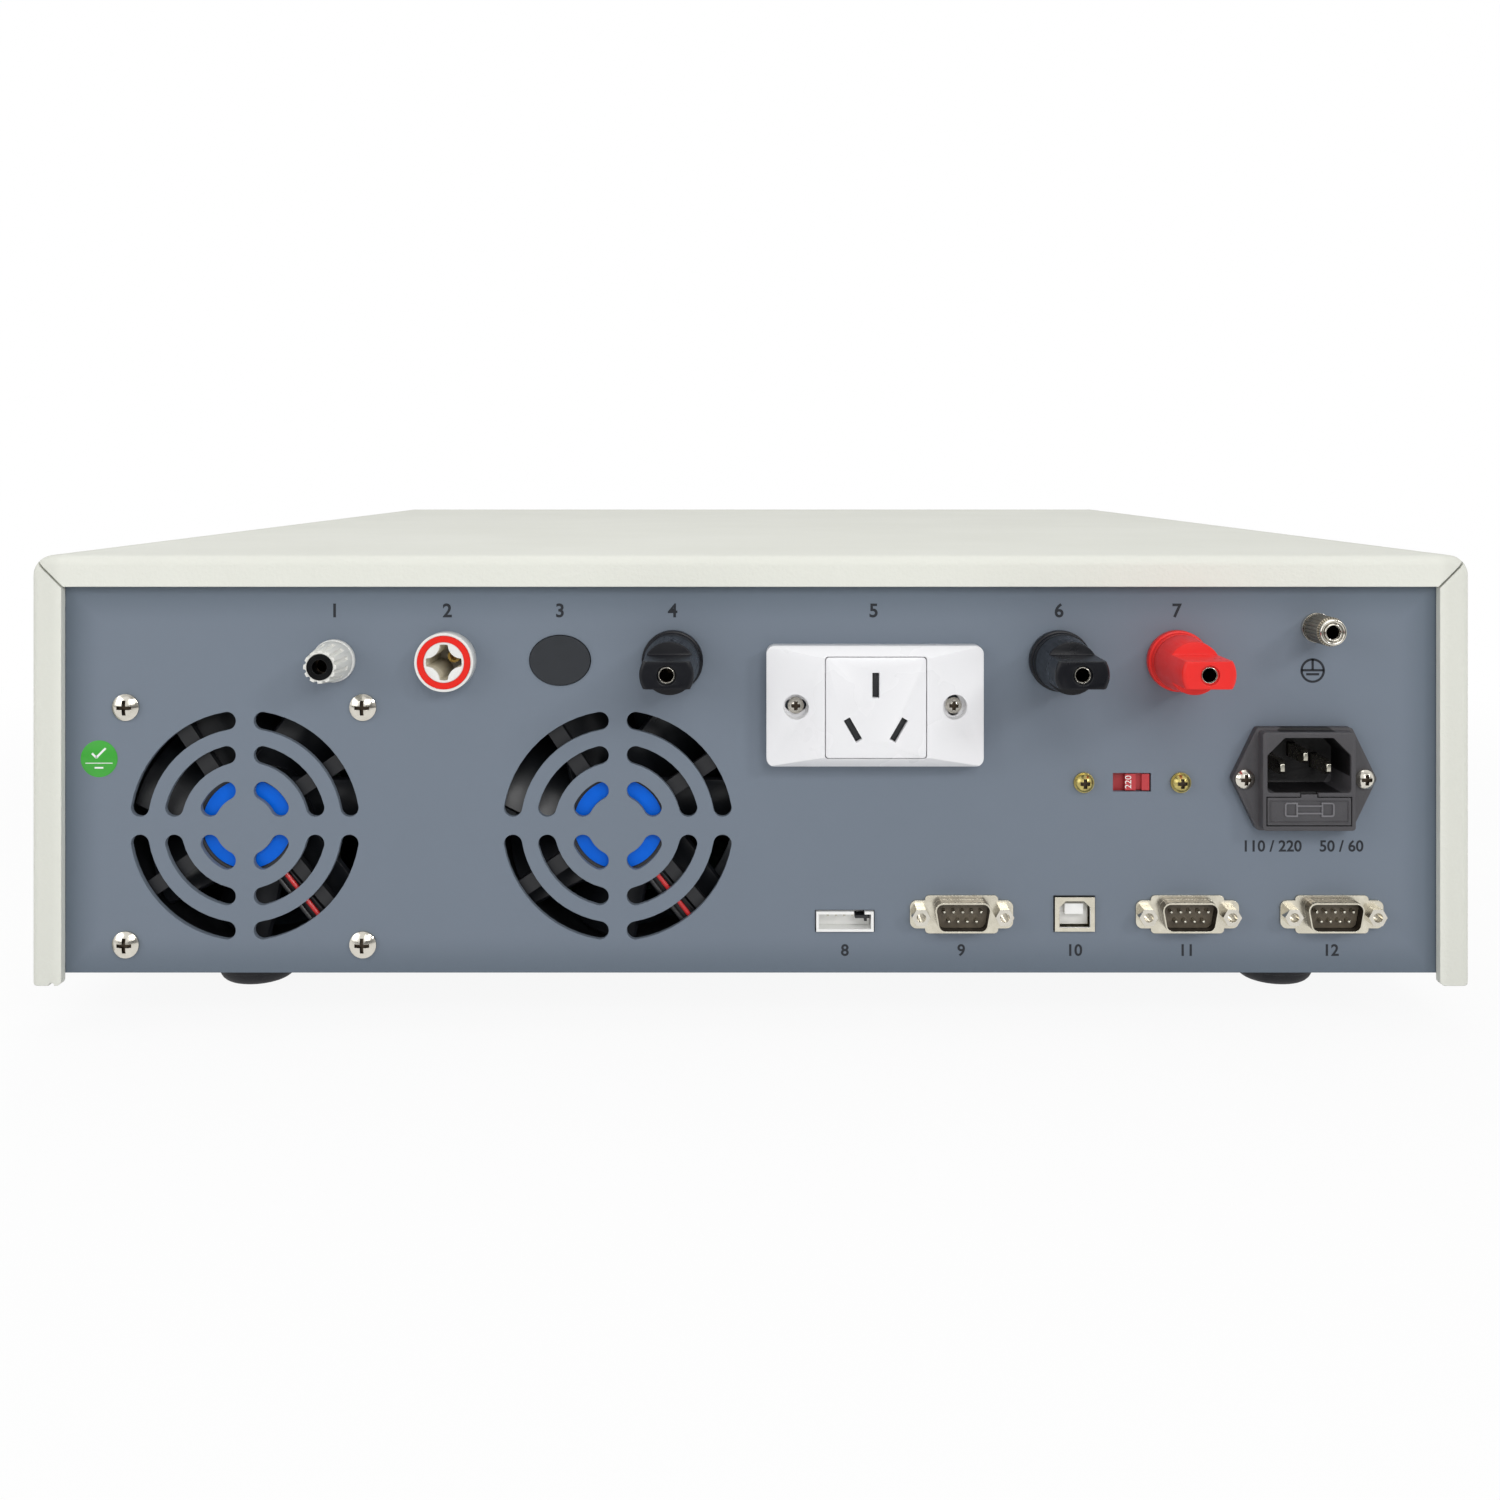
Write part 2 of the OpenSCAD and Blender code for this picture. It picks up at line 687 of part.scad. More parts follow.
module fan_rotor(u) {
    span = rotor_z1 - rotor_z0 - 2;
    chord = span / sin(blade_angle);
    on_rear(u, z_fan) {
        difference() {
            rod(hub_d, rotor_z0, rotor_z1);
            rod(hub_d - 2 * cup_wall, rotor_z0 + cup_wall, rotor_z1 + 1);
        }
        rod(shaft_d, rotor_z0 + cup_wall - eps, shaft_end);
        intersection() {
            for (i = [0 : blade_count - 1]) rotate(i * 360 / blade_count)
                translate([hub_d / 4, 0, (rotor_z0 + rotor_z1) / 2]) rotate([90, 0, 90])
                    linear_extrude(rotor_r) rotate(blade_angle) intersection() {
                        translate([0, -blade_camber_r]) difference() {
                            circle(blade_camber_r + blade_t / 2);
                            circle(blade_camber_r - blade_t / 2);
                        }
                        square([chord, 12], center = true);
                    }
            difference() {
                rod(2 * rotor_r, rotor_z0, rotor_z1);
                rod(hub_d - cup_wall, rotor_z0 - 1, rotor_z1 + 1);
            }
        }
    }
}

module fan_rotor_1() color("#222327") fan_rotor(fan_1_u);
module fan_rotor_2() color("#222327") fan_rotor(fan_2_u);

// Each fan's two wires run along the lower strut, out of the frame and back to the main board
module fan_leads() color("#b02020") {
    r0 = hub_d / 2 + 0.8;
    r1 = fan_bore / 2 + 2.5;
    z0 = fan_z - lead_d / 2 - 0.2;
    for (u = fan_centres) for (s = [-1, 1]) on_rear(u, z_fan) rotate(strut_angles[3])
        translate([0, s * lead_step / 2, 0]) {
            translate([r0, 0, z0]) rotate([0, 90, 0]) rod(lead_d, 0, r1 - r0);
            translate([r1, 0, z0]) sphere(d = lead_d);
            translate([r1, 0, 0]) rod(lead_d, -panel_t - board_in + plug_l, z0);
        }
}

module fan_screws() color("silver") {
    on_rear(fan_1_u, z_fan) fan_hole_places() pan_screw(fan_head_d, fan_shank_d, panel_t + fan_flange_t + 6);
}

// A sheet cradle welded behind the panel holds the second fan
bracket_t = 1.5;
module fan_bracket() color("#9aa0a6") {
    side = fan_size / 2 + seat_gap;
    z0 = fan_back - seat_gap;
    on_rear(fan_2_u, z_fan) {
        pair() translate([side, -fan_size / 3, z0 - bracket_t])
            cube([bracket_t, 2 * fan_size / 3, -panel_t - z0 + bracket_t]);
        difference() {
            block(2 * side + 2 * bracket_t, 2 * fan_size / 3, z0 - bracket_t, z0);
            rod(fan_bore - 6, z0 - bracket_t - 1, z0 + 1);
            rotate(strut_angles[3]) translate([fan_bore / 2, 0, 0]) block(14, 7, z0 - bracket_t - 1, z0 + 1);
        }
    }
}

// Terminals. A screw cap is split into a threaded sleeve or ring and the grip round it
turn_gap = 0.06;
return_neck_d = 8;
post_neck_d = 10;
hv_neck_d = 14;
earth_stem_d = stem_d;
sleeve_od = 7.2;
sleeve_l = 2 * cap_travel;
return_ring_d = 7.6;
return_ring_l = 4;
return_skirt = 2.4;
cap_taper = 2.6;
cap_lean = 5.5;

// A brass stem with a plug bore in its nose, its foot behind the panel
module plug_stem(len, depth, back) {
    difference() {
        rod(stem_d, -back, len);
        rod(plug_bore, len - depth, len + 1);
    }
}

module return_base() color("#e9e9e6") {
    on_rear(return_u, z_row) difference() {
        union() {
            rod(return_d + 0.6, 0, return_skirt);
            rod(return_neck_d, -panel_t - 1.5, eps);
            rod(return_d, -panel_t - 3.5, -panel_t - seat_gap);
        }
        rod(stem_d + 2 * turn_gap, -panel_t - 5, return_skirt + 1);
    }
}

module return_stem() color("#c9a95a") {
    on_rear(return_u, z_row) plug_stem(return_len - return_ring_l - seat_gap, return_len - 6, 14);
}

module return_cap() color("#e6e6e1") {
    on_rear(return_u, z_row) difference() {
        translate([0, 0, return_skirt + seat_gap])
            cylinder(d1 = return_d, d2 = return_d - cap_taper, h = return_len - return_skirt - seat_gap);
        rod(stem_d + 2 * turn_gap, 0, return_len);
        rod(return_ring_d + 2 * turn_gap, return_len - return_ring_l, return_len + 1);
        for (i = [0 : flute_count - 1]) rotate((i + 0.5) * 360 / flute_count)
            translate([return_d / 2 + 0.2, 0, 0]) rotate([0, -cap_lean, 0])
                rod(1.2, return_skirt + 4, return_len + 2);
    }
}

module return_ring() color("#18191b") {
    on_rear(return_u, z_row) difference() {
        rod(return_ring_d, return_len - return_ring_l + seat_gap / 2, return_len + 0.3);
        rod(plug_bore + 0.4, return_len - return_ring_l, return_len + 1);
    }
}

// Four pointed plug hole with hollow sides
star_r = 5.35;
star_bite_r = 4.15;
module star_outline() {
    intersection() {
        circle(star_r);
        difference() {
            square(2 * star_r, center = true);
            for (x = [-1, 1]) for (y = [-1, 1]) translate([x * star_r, y * star_r]) circle(star_bite_r);
        }
    }
}

hv_ring_d = 16;
hv_ring_bore = 12.1;
hv_ring_t = 1.2;
module hv_socket_body() color("#ececea") {
    on_rear(hv_u, z_row) difference() {
        union() {
            rod(hv_d, 0, hv_out);
            rod(hv_neck_d, -hv_depth + hv_out - 3, eps);
            rod(hv_d + 2, -panel_t - 4, -panel_t - seat_gap);
        }
        translate([0, 0, hv_out - hv_depth]) linear_extrude(hv_depth + 1) star_outline();
        difference() {
            rod(hv_ring_d, hv_out - hv_ring_t, hv_out + 1);
            rod(hv_ring_bore, hv_out - hv_ring_t - 1, hv_out + 2);
        }
        rod(hv_contact_d + 0.1, hv_out - hv_depth - 4, hv_out - hv_depth + 1);
    }
}

module hv_socket_ring() color("#e4342b") {
    on_rear(hv_u, z_row) difference() {
        rod(hv_ring_d - 0.1, hv_out - hv_ring_t, hv_out + 0.15);
        rod(hv_ring_bore + 0.1, hv_out - hv_ring_t - 1, hv_out + 1);
    }
}

module blanking_plug() color("#36393e") {
    on_rear(blank_u, z_row) {
        translate([0, 0, -panel_t - seat_gap - eps]) linear_extrude(panel_t + seat_gap + 0.5)
            oval(blank_w, blank_h);
        translate([0, 0, -panel_t - seat_gap - 1.5]) linear_extrude(1.5) oval(blank_w + 4, blank_h + 4);
    }
}

// A current post's fixed base, with its washer behind the panel
module post_base(u) {
    on_rear(u, z_row) difference() {
        union() {
            rod(post_d, 0, post_base_len - 2);
            rod(post_d - 1.4, 0, post_base_len);
            rod(post_neck_d, -panel_t - 1.5, eps);
            rod(post_d - 2, -panel_t - seat_gap - 3, -panel_t - seat_gap);
        }
        rod(stem_d + 2 * turn_gap, -panel_t - 5, post_base_len + 1);
    }
}

module post_bases() color("#2b2e35") {
    post_base(current_low_u);
    post_base(neutral_u);
}

module live_base() color("#c9302c") post_base(live_u);

// Brass stems with a hexagon nut behind each
post_nut_d = 11.5;
module post_stems() color("#c9a95a") {
    for (u = [current_low_u, neutral_u, live_u]) on_rear(u, z_row) {
        plug_stem(post_len - 0.8, plug_depth, 18);
        difference() {
            translate([0, 0, -panel_t - seat_gap - 3.3 - 4]) cylinder(d = post_nut_d, h = 4, $fn = 6);
            rod(stem_d + 2 * turn_gap, -20, 0);
        }
    }
}

module post_sleeve(u) color("#c9a95a") {
    on_rear(u, z_row) difference() {
        rod(sleeve_od, post_base_len + seat_gap, post_base_len + seat_gap + sleeve_l);
        rod(stem_d + 2 * turn_gap, 0, post_len);
    }
}

module current_low_sleeve() post_sleeve(current_low_u);
module neutral_sleeve() post_sleeve(neutral_u);
module live_sleeve() post_sleeve(live_u);

// A post's turning knob: a tapered body whose nose is cut away to a bar grip
knob_edge_r = 1.2;
module post_knob(u) {
    z0 = post_base_len + seat_gap;
    ledge = post_len - grip_len;
    on_rear(u, z_row) difference() {
        rotate_extrude() difference() {
            polygon([[0, z0], [post_d / 2 - 0.9, z0], [post_d / 2 - 0.9, z0 + 3],
                [grip_w / 2, ledge], [grip_w / 2, post_len], [0, post_len]]);
            translate([grip_w / 2 - knob_edge_r, post_len - knob_edge_r]) edge_profile(knob_edge_r);
        }
        for (s = [-1, 1]) translate([-post_d, s * (grip_h / 2 + post_d / 2) - post_d / 2, ledge])
            cube([2 * post_d, post_d, grip_len + 1]);
        rod(stem_d + 2 * turn_gap, z0 - 1, post_len + 1);
        rod(sleeve_od + 2 * turn_gap, z0 - 1, z0 + sleeve_l + seat_gap);
        // Thumb scallops round the skirt
        for (a = [90, 270]) rotate(a) translate([post_d / 2 + 3, 0, 0]) rod(8, z0 + 3, ledge - 2);
    }
}

module current_low_knob() color("#2b2e35") post_knob(current_low_u);
module neutral_knob() color("#2b2e35") post_knob(neutral_u);
module live_knob() color("#e23a36") post_knob(live_u);

// Earth post: a flanged stem, a ring that carries the thread and the knurled nut round it
earth_flange_d = 9;
earth_flange_t = 1.6;
earth_ring_d = 6.6;
earth_collar_d = 7.8;
earth_collar_t = 1.4;
knurl_count = 24;
module earth_stem() color("#b9b6ae") {
    on_rear(earth_u, z_earth) {
        plug_stem(earth_len - 0.6, earth_len - 2.2, 12);
        difference() {
            rod(earth_flange_d, 0, earth_flange_t);
            rod(stem_d - eps, -1, earth_flange_t + 1);
        }
        difference() {
            translate([0, 0, -panel_t - seat_gap - 3]) cylinder(d = earth_flange_d + 2, h = 3, $fn = 6);
            rod(stem_d + 2 * turn_gap, -20, 0);
        }
    }
}

module earth_ring() color("#c9c6be") {
    on_rear(earth_u, z_earth) difference() {
        union() {
            rod(earth_ring_d, earth_flange_t + 1, earth_len - earth_collar_t + eps);
            rod(earth_collar_d, earth_len - earth_collar_t, earth_len);
        }
        rod(stem_d + 2 * turn_gap, 0, earth_len + 1);
    }
}

module earth_nut() color("#b5b2aa") {
    on_rear(earth_u, z_earth) difference() {
        rod(earth_d, earth_flange_t + seat_gap, earth_len - earth_collar_t - seat_gap / 2);
        rod(earth_ring_d + 2 * turn_gap, 0, earth_len);
        for (i = [0 : knurl_count - 1]) rotate(i * 360 / knurl_count)
            translate([earth_d / 2 + 0.12, 0, 0])
                rod(0.7, earth_flange_t + 1.2, earth_len - earth_collar_t - 1);
    }
}

// Mains outlet: a bevelled plate round a square insert
outlet_body_w = insert_w - 1.4;
outlet_edge_out = 0.6 * outlet_out;
outlet_bevel = 3.2;
outlet_back = 24;
outlet_seat = outlet_out - 6;
outlet_head_d = 4.9;
outlet_pin_r = 6.6;
insert_r = 1;

module outlet_screw_places() {
    on_rear(outlet_u, z_outlet) for (s = [-1, 1])
        translate([s * outlet_pitch / 2, 0, outlet_seat]) children();
}

module outlet_plate() color("#ececec") {
    mid = insert_w / 2 + 1;
    on_rear(outlet_u, z_outlet) difference() {
        intersection() {
            linear_extrude(outlet_out) round_rect(outlet_w, outlet_h, 2.5);
            // Wings that fall away to the left and right edges
            translate([0, outlet_h, 0]) rotate([90, 0, 0]) linear_extrude(2 * outlet_h)
                polygon([[-outlet_w / 2, 0], [outlet_w / 2, 0], [outlet_w / 2, outlet_edge_out],
                    [mid, outlet_out], [-mid, outlet_out], [-outlet_w / 2, outlet_edge_out]]);
            // Bevels along the top and bottom
            translate([-outlet_w, 0, 0]) rotate([90, 0, 90]) linear_extrude(2 * outlet_w)
                polygon([[-outlet_h / 2, 0], [outlet_h / 2, 0], [outlet_h / 2, outlet_edge_out],
                    [outlet_h / 2 - outlet_bevel, outlet_out], [outlet_bevel - outlet_h / 2, outlet_out],
                    [-outlet_h / 2, outlet_edge_out]]);
        }
        translate([0, 0, -1]) linear_extrude(outlet_out + 2)
            round_rect(insert_w + 2 * hole_gap, insert_w + 2 * hole_gap, insert_r);
        for (s = [-1, 1]) translate([s * outlet_pitch / 2, 0, 0]) {
            rod(outlet_recess_d, outlet_seat, outlet_out + 1);
            translate([0, 0, -1]) linear_extrude(outlet_seat + 2) rotate(s < 0 ? 0 : 90)
                slot(outlet_recess_d - 1, small_shank_d + 2 * hole_gap);
        }
    }
}

// The three contact slots, earth upright and the other two leaning inward at the foot
module outlet_slot_places() {
    translate([0, outlet_pin_r, 0]) children();
    for (s = [-1, 1]) translate([s * outlet_pin_r * 1.03, -outlet_pin_r, 0]) rotate(-30 * s) children();
}

module outlet_insert() color("#efefef") {
    on_rear(outlet_u, z_outlet) difference() {
        union() {
            linear_extrude(outlet_out - 0.3) round_rect(insert_w, insert_w, insert_r);
            block(outlet_body_w, outlet_body_w, -outlet_back, eps);
        }
        outlet_slot_places() block(slot_t, slot_l, -outlet_back + 4, outlet_out + 1);
    }
}

hv_contact_d = 4;
module socket_contacts() color("#c9a95a") {
    on_rear(outlet_u, z_outlet) outlet_slot_places() difference() {
        block(slot_t - 0.1, slot_l - 0.2, -outlet_back + 4, -4);
        block(slot_t - 1.1, slot_l + 1, -outlet_back + 6, -3);
    }
    on_rear(hv_u, z_row) difference() {
        rod(hv_contact_d, hv_out - hv_depth - 9, hv_out - hv_depth + 6);
        rod(hv_contact_d - 1.6, hv_out - hv_depth, hv_out - hv_depth + 7);
    }
}

// Mains inlet: six sided flange, raised block, plug cavity over the fuse drawer
inlet_flange_t = 3;
inlet_out = 7;
inlet_back = 26;
inlet_corner_x = 14.2;
inlet_body_w = block_w - 0.6;
inlet_body_h = inlet_h - 2.2;
cavity_y = 4.8;
cavity_chamfer = 5.2;
drawer_y = -8.9;
drawer_gap = 0.3;
drawer_l = drawer_travel + 4;
tab_w = 4.8;
fuse_d = 5;
fuse_l = 20;
contact_pins = [[-6.9, 3.5], [6.9, 3.5], [0, 6.8]];

module inlet_screw_places() {
    on_rear(inlet_u, z_inlet) for (s = [-1, 1])
        translate([s * inlet_pitch / 2, 0, inlet_flange_t]) children();
}

module cavity_outline() {
    w = cavity_w / 2;
    h = cavity_h / 2;
    polygon(round_points([[-w, -h], [w, -h], [w, h - cavity_chamfer], [w - cavity_chamfer, h],
        [cavity_chamfer - w, h], [-w, h - cavity_chamfer]], 1.1, 4));
}

module inlet_housing() color("#3f4146") {
    h = inlet_h / 2;
    on_rear(inlet_u, z_inlet) difference() {
        union() {
            linear_extrude(inlet_flange_t) polygon(round_points([[-inlet_w / 2, 0], [-inlet_corner_x, -h],
                [inlet_corner_x, -h], [inlet_w / 2, 0], [inlet_corner_x, h], [-inlet_corner_x, h]], 1.2, 4));
            linear_extrude(inlet_out) round_rect(block_w, inlet_h - 1.6, 1);
            block(inlet_body_w, inlet_body_h, -inlet_back, eps);
        }
        translate([0, cavity_y, inlet_out - cavity_depth]) linear_extrude(cavity_depth + 1) cavity_outline();
        translate([0, drawer_y, 0]) block(cavity_w + 2 * drawer_gap, drawer_h + 2 * drawer_gap,
            inlet_out - drawer_l - drawer_gap, inlet_out + 1);
        translate([0, drawer_y + drawer_h / 2 + 1, 0])
            block(tab_w + 2 * drawer_gap, 3, inlet_out - 2, inlet_out + 1);
        for (p = contact_pins) translate([p.x, p.y, 0])
            block(2 + 2 * hole_gap, 4 + 2 * hole_gap, -inlet_back - 1, inlet_out - cavity_depth + 1);
        for (s = [-1, 1]) translate([s * inlet_pitch / 2, 0, 0])
            rod(small_shank_d + 2 * hole_gap, -1, inlet_flange_t + 1);
    }
}

module inlet_pins() color("#cfd0cc") {
    pin_end = inlet_out - 3;
    on_rear(inlet_u, z_inlet) for (p = contact_pins) translate([p.x, p.y, 0]) {
        block(2, 4, -inlet_back - 6, pin_end - 1);
        block(1.2, 3, pin_end - 1 - eps, pin_end);
    }
}

module fuse_drawer() color("#3f4146") {
    z0 = inlet_out - drawer_l;
    on_rear(inlet_u, z_inlet) translate([0, drawer_y, 0]) difference() {
        union() {
            block(cavity_w, drawer_h, inlet_out - 2, inlet_out);
            translate([0, drawer_h / 2, 0]) block(tab_w, 2, inlet_out - 1.4, inlet_out);
            block(cavity_w - 0.8, drawer_h - 0.6, z0, inlet_out - 1);
        }
        // Two open pockets, the spare in front of the fuse in use
        for (i = [0, 1]) translate([0, 1.2, 0])
            block(fuse_l + 0.6, drawer_h, z0 + 2 + i * 9, z0 + 8 + i * 9);
    }
}

module fuses() color("#d9dcdc") {
    z0 = inlet_out - drawer_l;
    on_rear(inlet_u, z_inlet) for (i = [0, 1])
        translate([-fuse_l / 2, drawer_y + 1.2 - drawer_h / 2 + fuse_d / 2 + 0.05, z0 + 5 + i * 9])
            rotate([0, 90, 0]) rod(fuse_d, 0, fuse_l);
}

// Screws with plain heads on the outlet and inlet
module panel_screw_places() {
    outlet_screw_places() children();
    inlet_screw_places() children();
}

module panel_screws() color("silver") {
    outlet_screw_places() pan_screw(outlet_head_d, small_shank_d, outlet_seat + panel_t + 8);
    inlet_screw_places() pan_screw(small_head_d, small_shank_d, inlet_flange_t + panel_t + 8);
}

// Voltage selector: a slider seen through a window cut in the panel
selector_plate_t = 1.6;
slider_gap = 0.3;
slider_h = window_h + 3;
slider_w = window_w + selector_travel + 3;
slider_mid = selector_travel / 2;
raised_w = window_w - selector_travel - 0.8;
washer_d = 6.1;
washer_t = 0.8;

module selector_screw_places() {
    on_rear(selector_u, z_selector) for (s = [-1, 1]) translate([s * selector_pitch / 2, 0, 0]) children();
}

module selector_housing() color("#1d1e20") {
    z1 = -panel_t - seat_gap;
    room_w = slider_w + selector_travel + 2 * slider_gap;
    difference() {
        on_rear(selector_u, z_selector) difference() {
            union() {
                translate([0, 0, z1 - selector_plate_t]) linear_extrude(selector_plate_t)
                    round_rect(selector_pitch + 8, slider_h + 4, 2);
                block(room_w + 2 * wall_t, slider_h + 4, z1 - 12, z1);
            }
            block(room_w, slider_h + 2 * slider_gap, z1 - 2.2 - slider_gap, z1 + 1);
        }
        selector_screw_places() rod(small_shank_d + 2 * hole_gap, -20, 1);
    }
}

module selector_slider() color("#bb3a40") {
    z1 = -panel_t - seat_gap - slider_gap;
    right = window_w / 2 - 0.4;
    on_rear(selector_u, z_selector) {
        translate([slider_mid, 0, 0]) block(slider_w, slider_h, z1 - 1.8, z1);
        difference() {
            translate([right - raised_w / 2, 0, 0]) block(raised_w, window_h - 0.6, z1 - eps, -0.4);
            translate([right - raised_w * 0.44, 0, 0]) block(1.8, window_h, -1.6, 1);
        }
    }
}

module selector_screws() color("#cdbf73") {
    selector_screw_places() {
        rod(washer_d, 0, washer_t);
        translate([0, 0, washer_t]) pan_screw(small_head_d - 0.5, small_shank_d, panel_t + washer_t + 8);
    }
}

// Signal header: an open white shroud round five pins
header_out = 1;
port_depth = 15;
header_wall = 0.8;
header_floor = -7;
header_pin_t = 0.64;
header_pin_pitch = 2.5;
header_pin_tip = -3.6;

module signal_header() color("#eeeeec") {
    on_rear(header_u, z_header) difference() {
        block(header_w, header_h, -port_depth, header_out);
        block(header_w - 2 * header_wall, header_h - 2 * header_wall, header_floor, header_out + 1);
        // Cut-out that keys the plug, at the right of the top wall
        translate([header_w / 4, header_h / 2, 0])
            block(3.2, 2 * header_wall + 0.4, header_floor, header_out + 1);
        header_pin_places()
            block(header_pin_t + 0.1, header_pin_t + 0.1, -port_depth - 1, header_out);
    }
}

module header_pin_places() {
    for (i = [-2 : 2]) translate([i * header_pin_pitch, header_h / 8, 0]) children();
}

// Nine way ports: a flanged D shaped shell, a dark insert, pins and jackscrews
port_flange_t = 0.9;
port_out = 4.8;
port_shell_t = 0.5;
port_mid_w = 22;
ear_h = 8.4;
port_d_w = 17.6;
port_d_h = 9;
port_body_w = 19.4;
port_body_h = 10.2;
port_tail = 0.2;
port_corner_r = 2.4;
port_face = 1.2;
row_gap = 2.84;
jack_flats_d = 5.6;
jack_out = 3.6;
jack_bore = 2.8;
data_out = 1;
data_wall = 0.6;
data_hole_w = 9.3;
data_hole_h = 8;
tongue_w = 5.6;
tongue_h = 3.2;

module port_shells() color("#c8c4b8") {
    for (u = port_centres) on_rear(u, z_port) difference() {
        union() {
            linear_extrude(port_flange_t) {
                round_rect(port_mid_w, port_h, 1.2);
                round_rect(port_w, ear_h, 2);
            }
            linear_extrude(port_out) port_outline(port_d_w, port_d_h, port_corner_r);
        }
        translate([0, 0, -1]) linear_extrude(port_out + 2) port_outline(port_d_w - 2 * port_shell_t,
            port_d_h - 2 * port_shell_t, port_corner_r - port_shell_t);
        for (s = [-1, 1]) translate([s * jack_pitch / 2, 0, 0])
            rod(small_shank_d + 2 * hole_gap, -1, port_flange_t + 1);
    }
    on_rear(data_u, z_port) difference() {
        block(data_w, data_h, -port_depth, data_out);
        translate([0, 0, data_out - 1]) linear_extrude(3) polygon([[-data_hole_w / 2, -data_hole_h / 2],
            [data_hole_w / 2, -data_hole_h / 2], [data_hole_w / 2, data_hole_h / 2 - 1.9],
            [data_hole_w / 2 - 1.9, data_hole_h / 2], [1.9 - data_hole_w / 2, data_hole_h / 2],
            [-data_hole_w / 2, data_hole_h / 2 - 1.9]]);
        block(data_w - 2 * data_wall, data_h - 2 * data_wall,
            data_wall - port_depth, data_out - 0.9);
    }
}

// Places of the nine pins, five over four
module pin_places() {
    for (i = [-2 : 2]) translate([i * pin_pitch, row_gap / 2, 0]) children();
    for (i = [-1.5 : 1.5]) translate([i * pin_pitch, -row_gap / 2, 0]) children();
}

module port_inserts() color("#3a332b") {
    for (u = port_centres) on_rear(u, z_port) difference() {
        union() {
            linear_extrude(port_face) port_outline(port_d_w - 2 * port_shell_t - 0.1,
                port_d_h - 2 * port_shell_t - 0.1, port_corner_r - port_shell_t);
            translate([0, 0, -port_depth]) linear_extrude(port_depth)
                port_outline(port_body_w, port_body_h, 1.5);
        }
        pin_places() rod(pin_d + 0.1, -port_depth - 1, port_face + 1);
    }
}

module port_pins() color("#d8d4c4") {
    for (u = port_centres) on_rear(u, z_port) pin_places() {
        rod(pin_d, port_tail - port_depth, port_out - 1.4);
        translate([0, 0, port_out - 1.4]) sphere(d = pin_d);
    }
    on_rear(header_u, z_header) header_pin_places()
        block(header_pin_t, header_pin_t, port_tail - port_depth, header_pin_tip);
}

jack_shank_l = 8;
module jackscrews() color("#c8c4b8") {
    for (u = port_centres) on_rear(u, z_port) for (s = [-1, 1])
        translate([s * jack_pitch / 2, 0, 0]) difference() {
            union() {
                translate([0, 0, port_flange_t]) cylinder(d = jack_flats_d, h = jack_out, $fn = 6);
                rod(small_shank_d, -jack_shank_l, port_flange_t + eps);
            }
            rod(jack_bore, port_flange_t - 0.5, port_flange_t + jack_out + 1);
        }
}

module data_tongue() color("#eeeeee") {
    on_rear(data_u, z_port) {
        translate([0, data_hole_h / 2 - 1.1 - tongue_h / 2, 0])
            block(tongue_w, tongue_h, -port_depth + 3, data_out - 1.6);
        block(data_w - 2 * data_wall - 0.1, data_h - 2 * data_wall - 0.1,
            data_wall - port_depth + 0.05, 3.1 - port_depth);
    }
}

// Front of the case
module front_opening(inset) {
    side = 2 * bezel_w + 2 * inset;
    translate([0, z_mid]) square([case_w - side, case_h - side], center = true);
}

module front_bezel() color("#dcdcd6") {
    lip = 3;
    difference() {
        along_y(y_bezel, y_front) case_outline(0, z_leg);
        along_y(y_face - front_t - seat_gap, y_front + 1) front_opening(0);
        along_y(y_bezel - 1, y_front) front_opening(lip);
        translate([0, y_rim + y_front, 0]) mirror([0, 1, 0]) rim_edge_cuts(rim_bend_r);
    }
}

rocker_x = case_w / 2 - rocker_side_in;
rocker_hole_w = rocker_w - 5;
rocker_hole_h = rocker_h - 4;
rocker_flange_t = 1.8;
rocker_body_l = 20;
rocker_r = rocker_hole_h / 2 - 0.4;
rocker_pin_d = 3;
rocker_pin_l = 1.2;
rocker_pivot = -3;
button_bezel_gap = 0.4;
button_neck_d = button_d + 2 * button_bezel_gap;
button_flange_t = 1.5;
switch_t = 7;
switch_w = 14;
plunger_d = 6;
button_board_in = 16;

module button_places() {
    for (i = [0, 1]) on_front(across(button_u) + i * button_pitch, z_mid + button_up) children();
}

module front_panel() color("#4a5058") {
    difference() {
        union() {
            along_y(y_face - front_t, y_face) front_opening(seat_gap);
            for (i = [0, 1]) on_front(across(button_u) + (i + 0.5) * button_pitch, z_mid + button_up)
                rod(7, -button_board_in, -front_t + eps);
        }
        on_front(-across(display_u), z_mid) {
            block(display_w, display_h, -glass_t - seat_gap, 1);
            block(display_w - 8, display_h - 8, -front_t - 1, 1);
        }
        button_places() rod(button_neck_d, -front_t - 1, 1);
        on_front(rocker_x, z_mid - button_up) block(rocker_w - 2, rocker_h - 2, -front_t - 1, 1);
        on_front(across(button_u) + 1.5 * button_pitch, z_mid + button_up)
            rod(8, -button_board_in - 1, -front_t);
    }
}

module display_window() color("#15181c") {
    on_front(-across(display_u), z_mid) translate([0, 0, -glass_t]) linear_extrude(glass_t)
        round_rect(display_w - 2 * seat_gap, display_h - 2 * seat_gap, 1);
}

